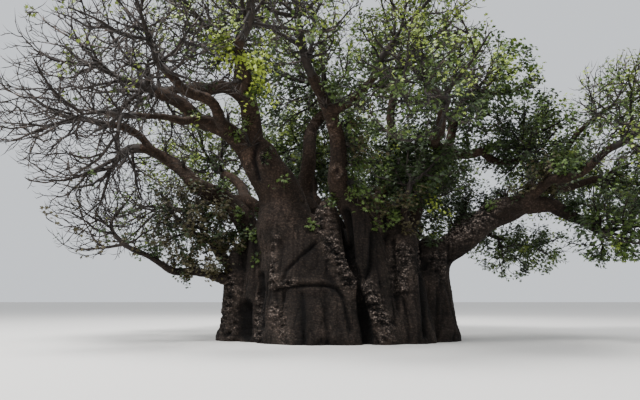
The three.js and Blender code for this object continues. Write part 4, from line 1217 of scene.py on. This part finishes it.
def dress():
    rng = np.random.default_rng(SEED)
    stems = {side: [] for side in [*GROUPS, "tufts"]}
    wood = {}
    foliage = {}
    side_of = {name: side for side, names in GROUPS.items() for name in names}
    for name, twigs in masses.items():
        side = side_of[name]
        lines = twig_lines(np.array(twigs.curves), rng)
        radii = twigs.radii(RING_SHARES)
        thick = radii[:, 0] > THICK_TWIG
        stems[side].append(tubes(*with_more_rings(lines[thick], radii[thick]), MAIN_SIDES))
        parts = wood.setdefault(side, [])
        parts.append(tubes(lines[~thick], radii[~thick], TWIG_SIDES))
        starts, tips = grow_shoots(lines, twigs.index, rng)
        shoot_lines = np.stack([starts, (starts + tips) / 2 - SHOOT_SAG * UP, tips], axis=1)
        parts.append(tubes(shoot_lines, np.tile(SHOOT_RADII, (len(starts), 1)), TWIG_SIDES))
        starts = np.concatenate([starts, lines[1:, -2]])
        ends = np.concatenate([tips, lines[1:, -1]])
        foliage.setdefault(side, []).append(sprays_of(name, starts, ends, rng))
    tuft_curves, kinds = grow_tufts(rng)
    lines = twig_lines(tuft_curves, rng)
    radii = np.tile(np.linspace(TUFT_RADIUS, TIP_RADIUS / 2, TWIG_RINGS), (len(lines), 1))
    wood["tufts"] = [tubes(lines, radii, TWIG_SIDES)]
    leafy = lines[kinds != BARE]
    ways = unit(leafy[:, -1] - leafy[:, -2])
    sizes = np.full(len(leafy), TUFT_LEAF)
    foliage["tufts"] = [(leafy[:, ring], ways, kinds[kinds != BARE], sizes) for ring in (-1, -2)]
    for side, parts in wood.items():
        vertices, triangles = joined(stems[side] + parts)
        stem_count = sum(len(stem_triangles) for _, stem_triangles in stems[side])
        thick = np.arange(len(triangles)) < stem_count
        piece = mesh_piece("twigs_" + side, vertices, triangles, TWIG_BARKS, thick)
        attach(piece, "root")
        if side in GROUPS:
            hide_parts(*["mass_" + name for name in GROUPS[side]])
    for side, parts in foliage.items():
        places, axes, kinds, sizes = (np.concatenate(column) for column in zip(*parts))
        vertices, triangles = leaves_on(places, axes, sizes, rng)
        kinds = np.repeat(kinds, len(triangles) // len(places))
        piece = mesh_piece("leaves_" + side, vertices, triangles, LEAVES, kinds)
        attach(piece, "root")


dress()

# Camera, floor and light.

FLOOR_SIZE = 400
SKY_COLOUR = (0.86, 0.9, 0.95, 1)
SKY_STRENGTH = 1.03
LIGHT_AIM = Vector((0, 0, 5))
# Each light: its place, its size and its power in watts.
LIGHTS = {
    "key": ((-14, -10, 34), 12, 28000),
    "fill": ((22, -14, 24), 16, 2500),
    "back": ((4, 26, 24), 16, 6000),
}


def add_camera():
    data = bpy.data.cameras.new("camera")
    data.lens = LENS_MM
    data.sensor_width = SENSOR_MM
    data.shift_y = HORIZON_DROP_PX / FRAME_WIDTH_PX
    data.clip_end = CAMERA_SIGHT
    camera = add_object("camera", data)
    camera.location = CAMERA_PLACE
    camera.rotation_euler = (math.pi / 2, 0, 0)
    bpy.context.scene.camera = camera


def add_floor():
    body = bmesh.new()
    bmesh.ops.create_grid(body, x_segments=1, y_segments=1, size=FLOOR_SIZE)
    mesh = bpy.data.meshes.new("floor")
    body.to_mesh(mesh)
    body.free()
    mesh.materials.append(Look("pale_floor").finished({"Base Color": FLOOR_COLOUR, "Roughness": 0.95}))
    floor = add_object("floor", mesh)


def add_world():
    world = bpy.data.worlds.new("studio")
    world.use_nodes = True
    background = world.node_tree.nodes["Background"]
    background.inputs["Color"].default_value = SKY_COLOUR
    background.inputs["Strength"].default_value = SKY_STRENGTH
    bpy.context.scene.world = world


def add_light(name, place, size, watts):
    data = bpy.data.lights.new(name, "AREA")
    data.shape = "DISK"
    data.size = size
    data.energy = watts
    light = add_object(name, data)
    light.location = place
    light.rotation_euler = (LIGHT_AIM - Vector(place)).to_track_quat("-Z", "Y").to_euler()


add_camera()
add_floor()
add_world()
for name, values in LIGHTS.items():
    add_light(name, *values)
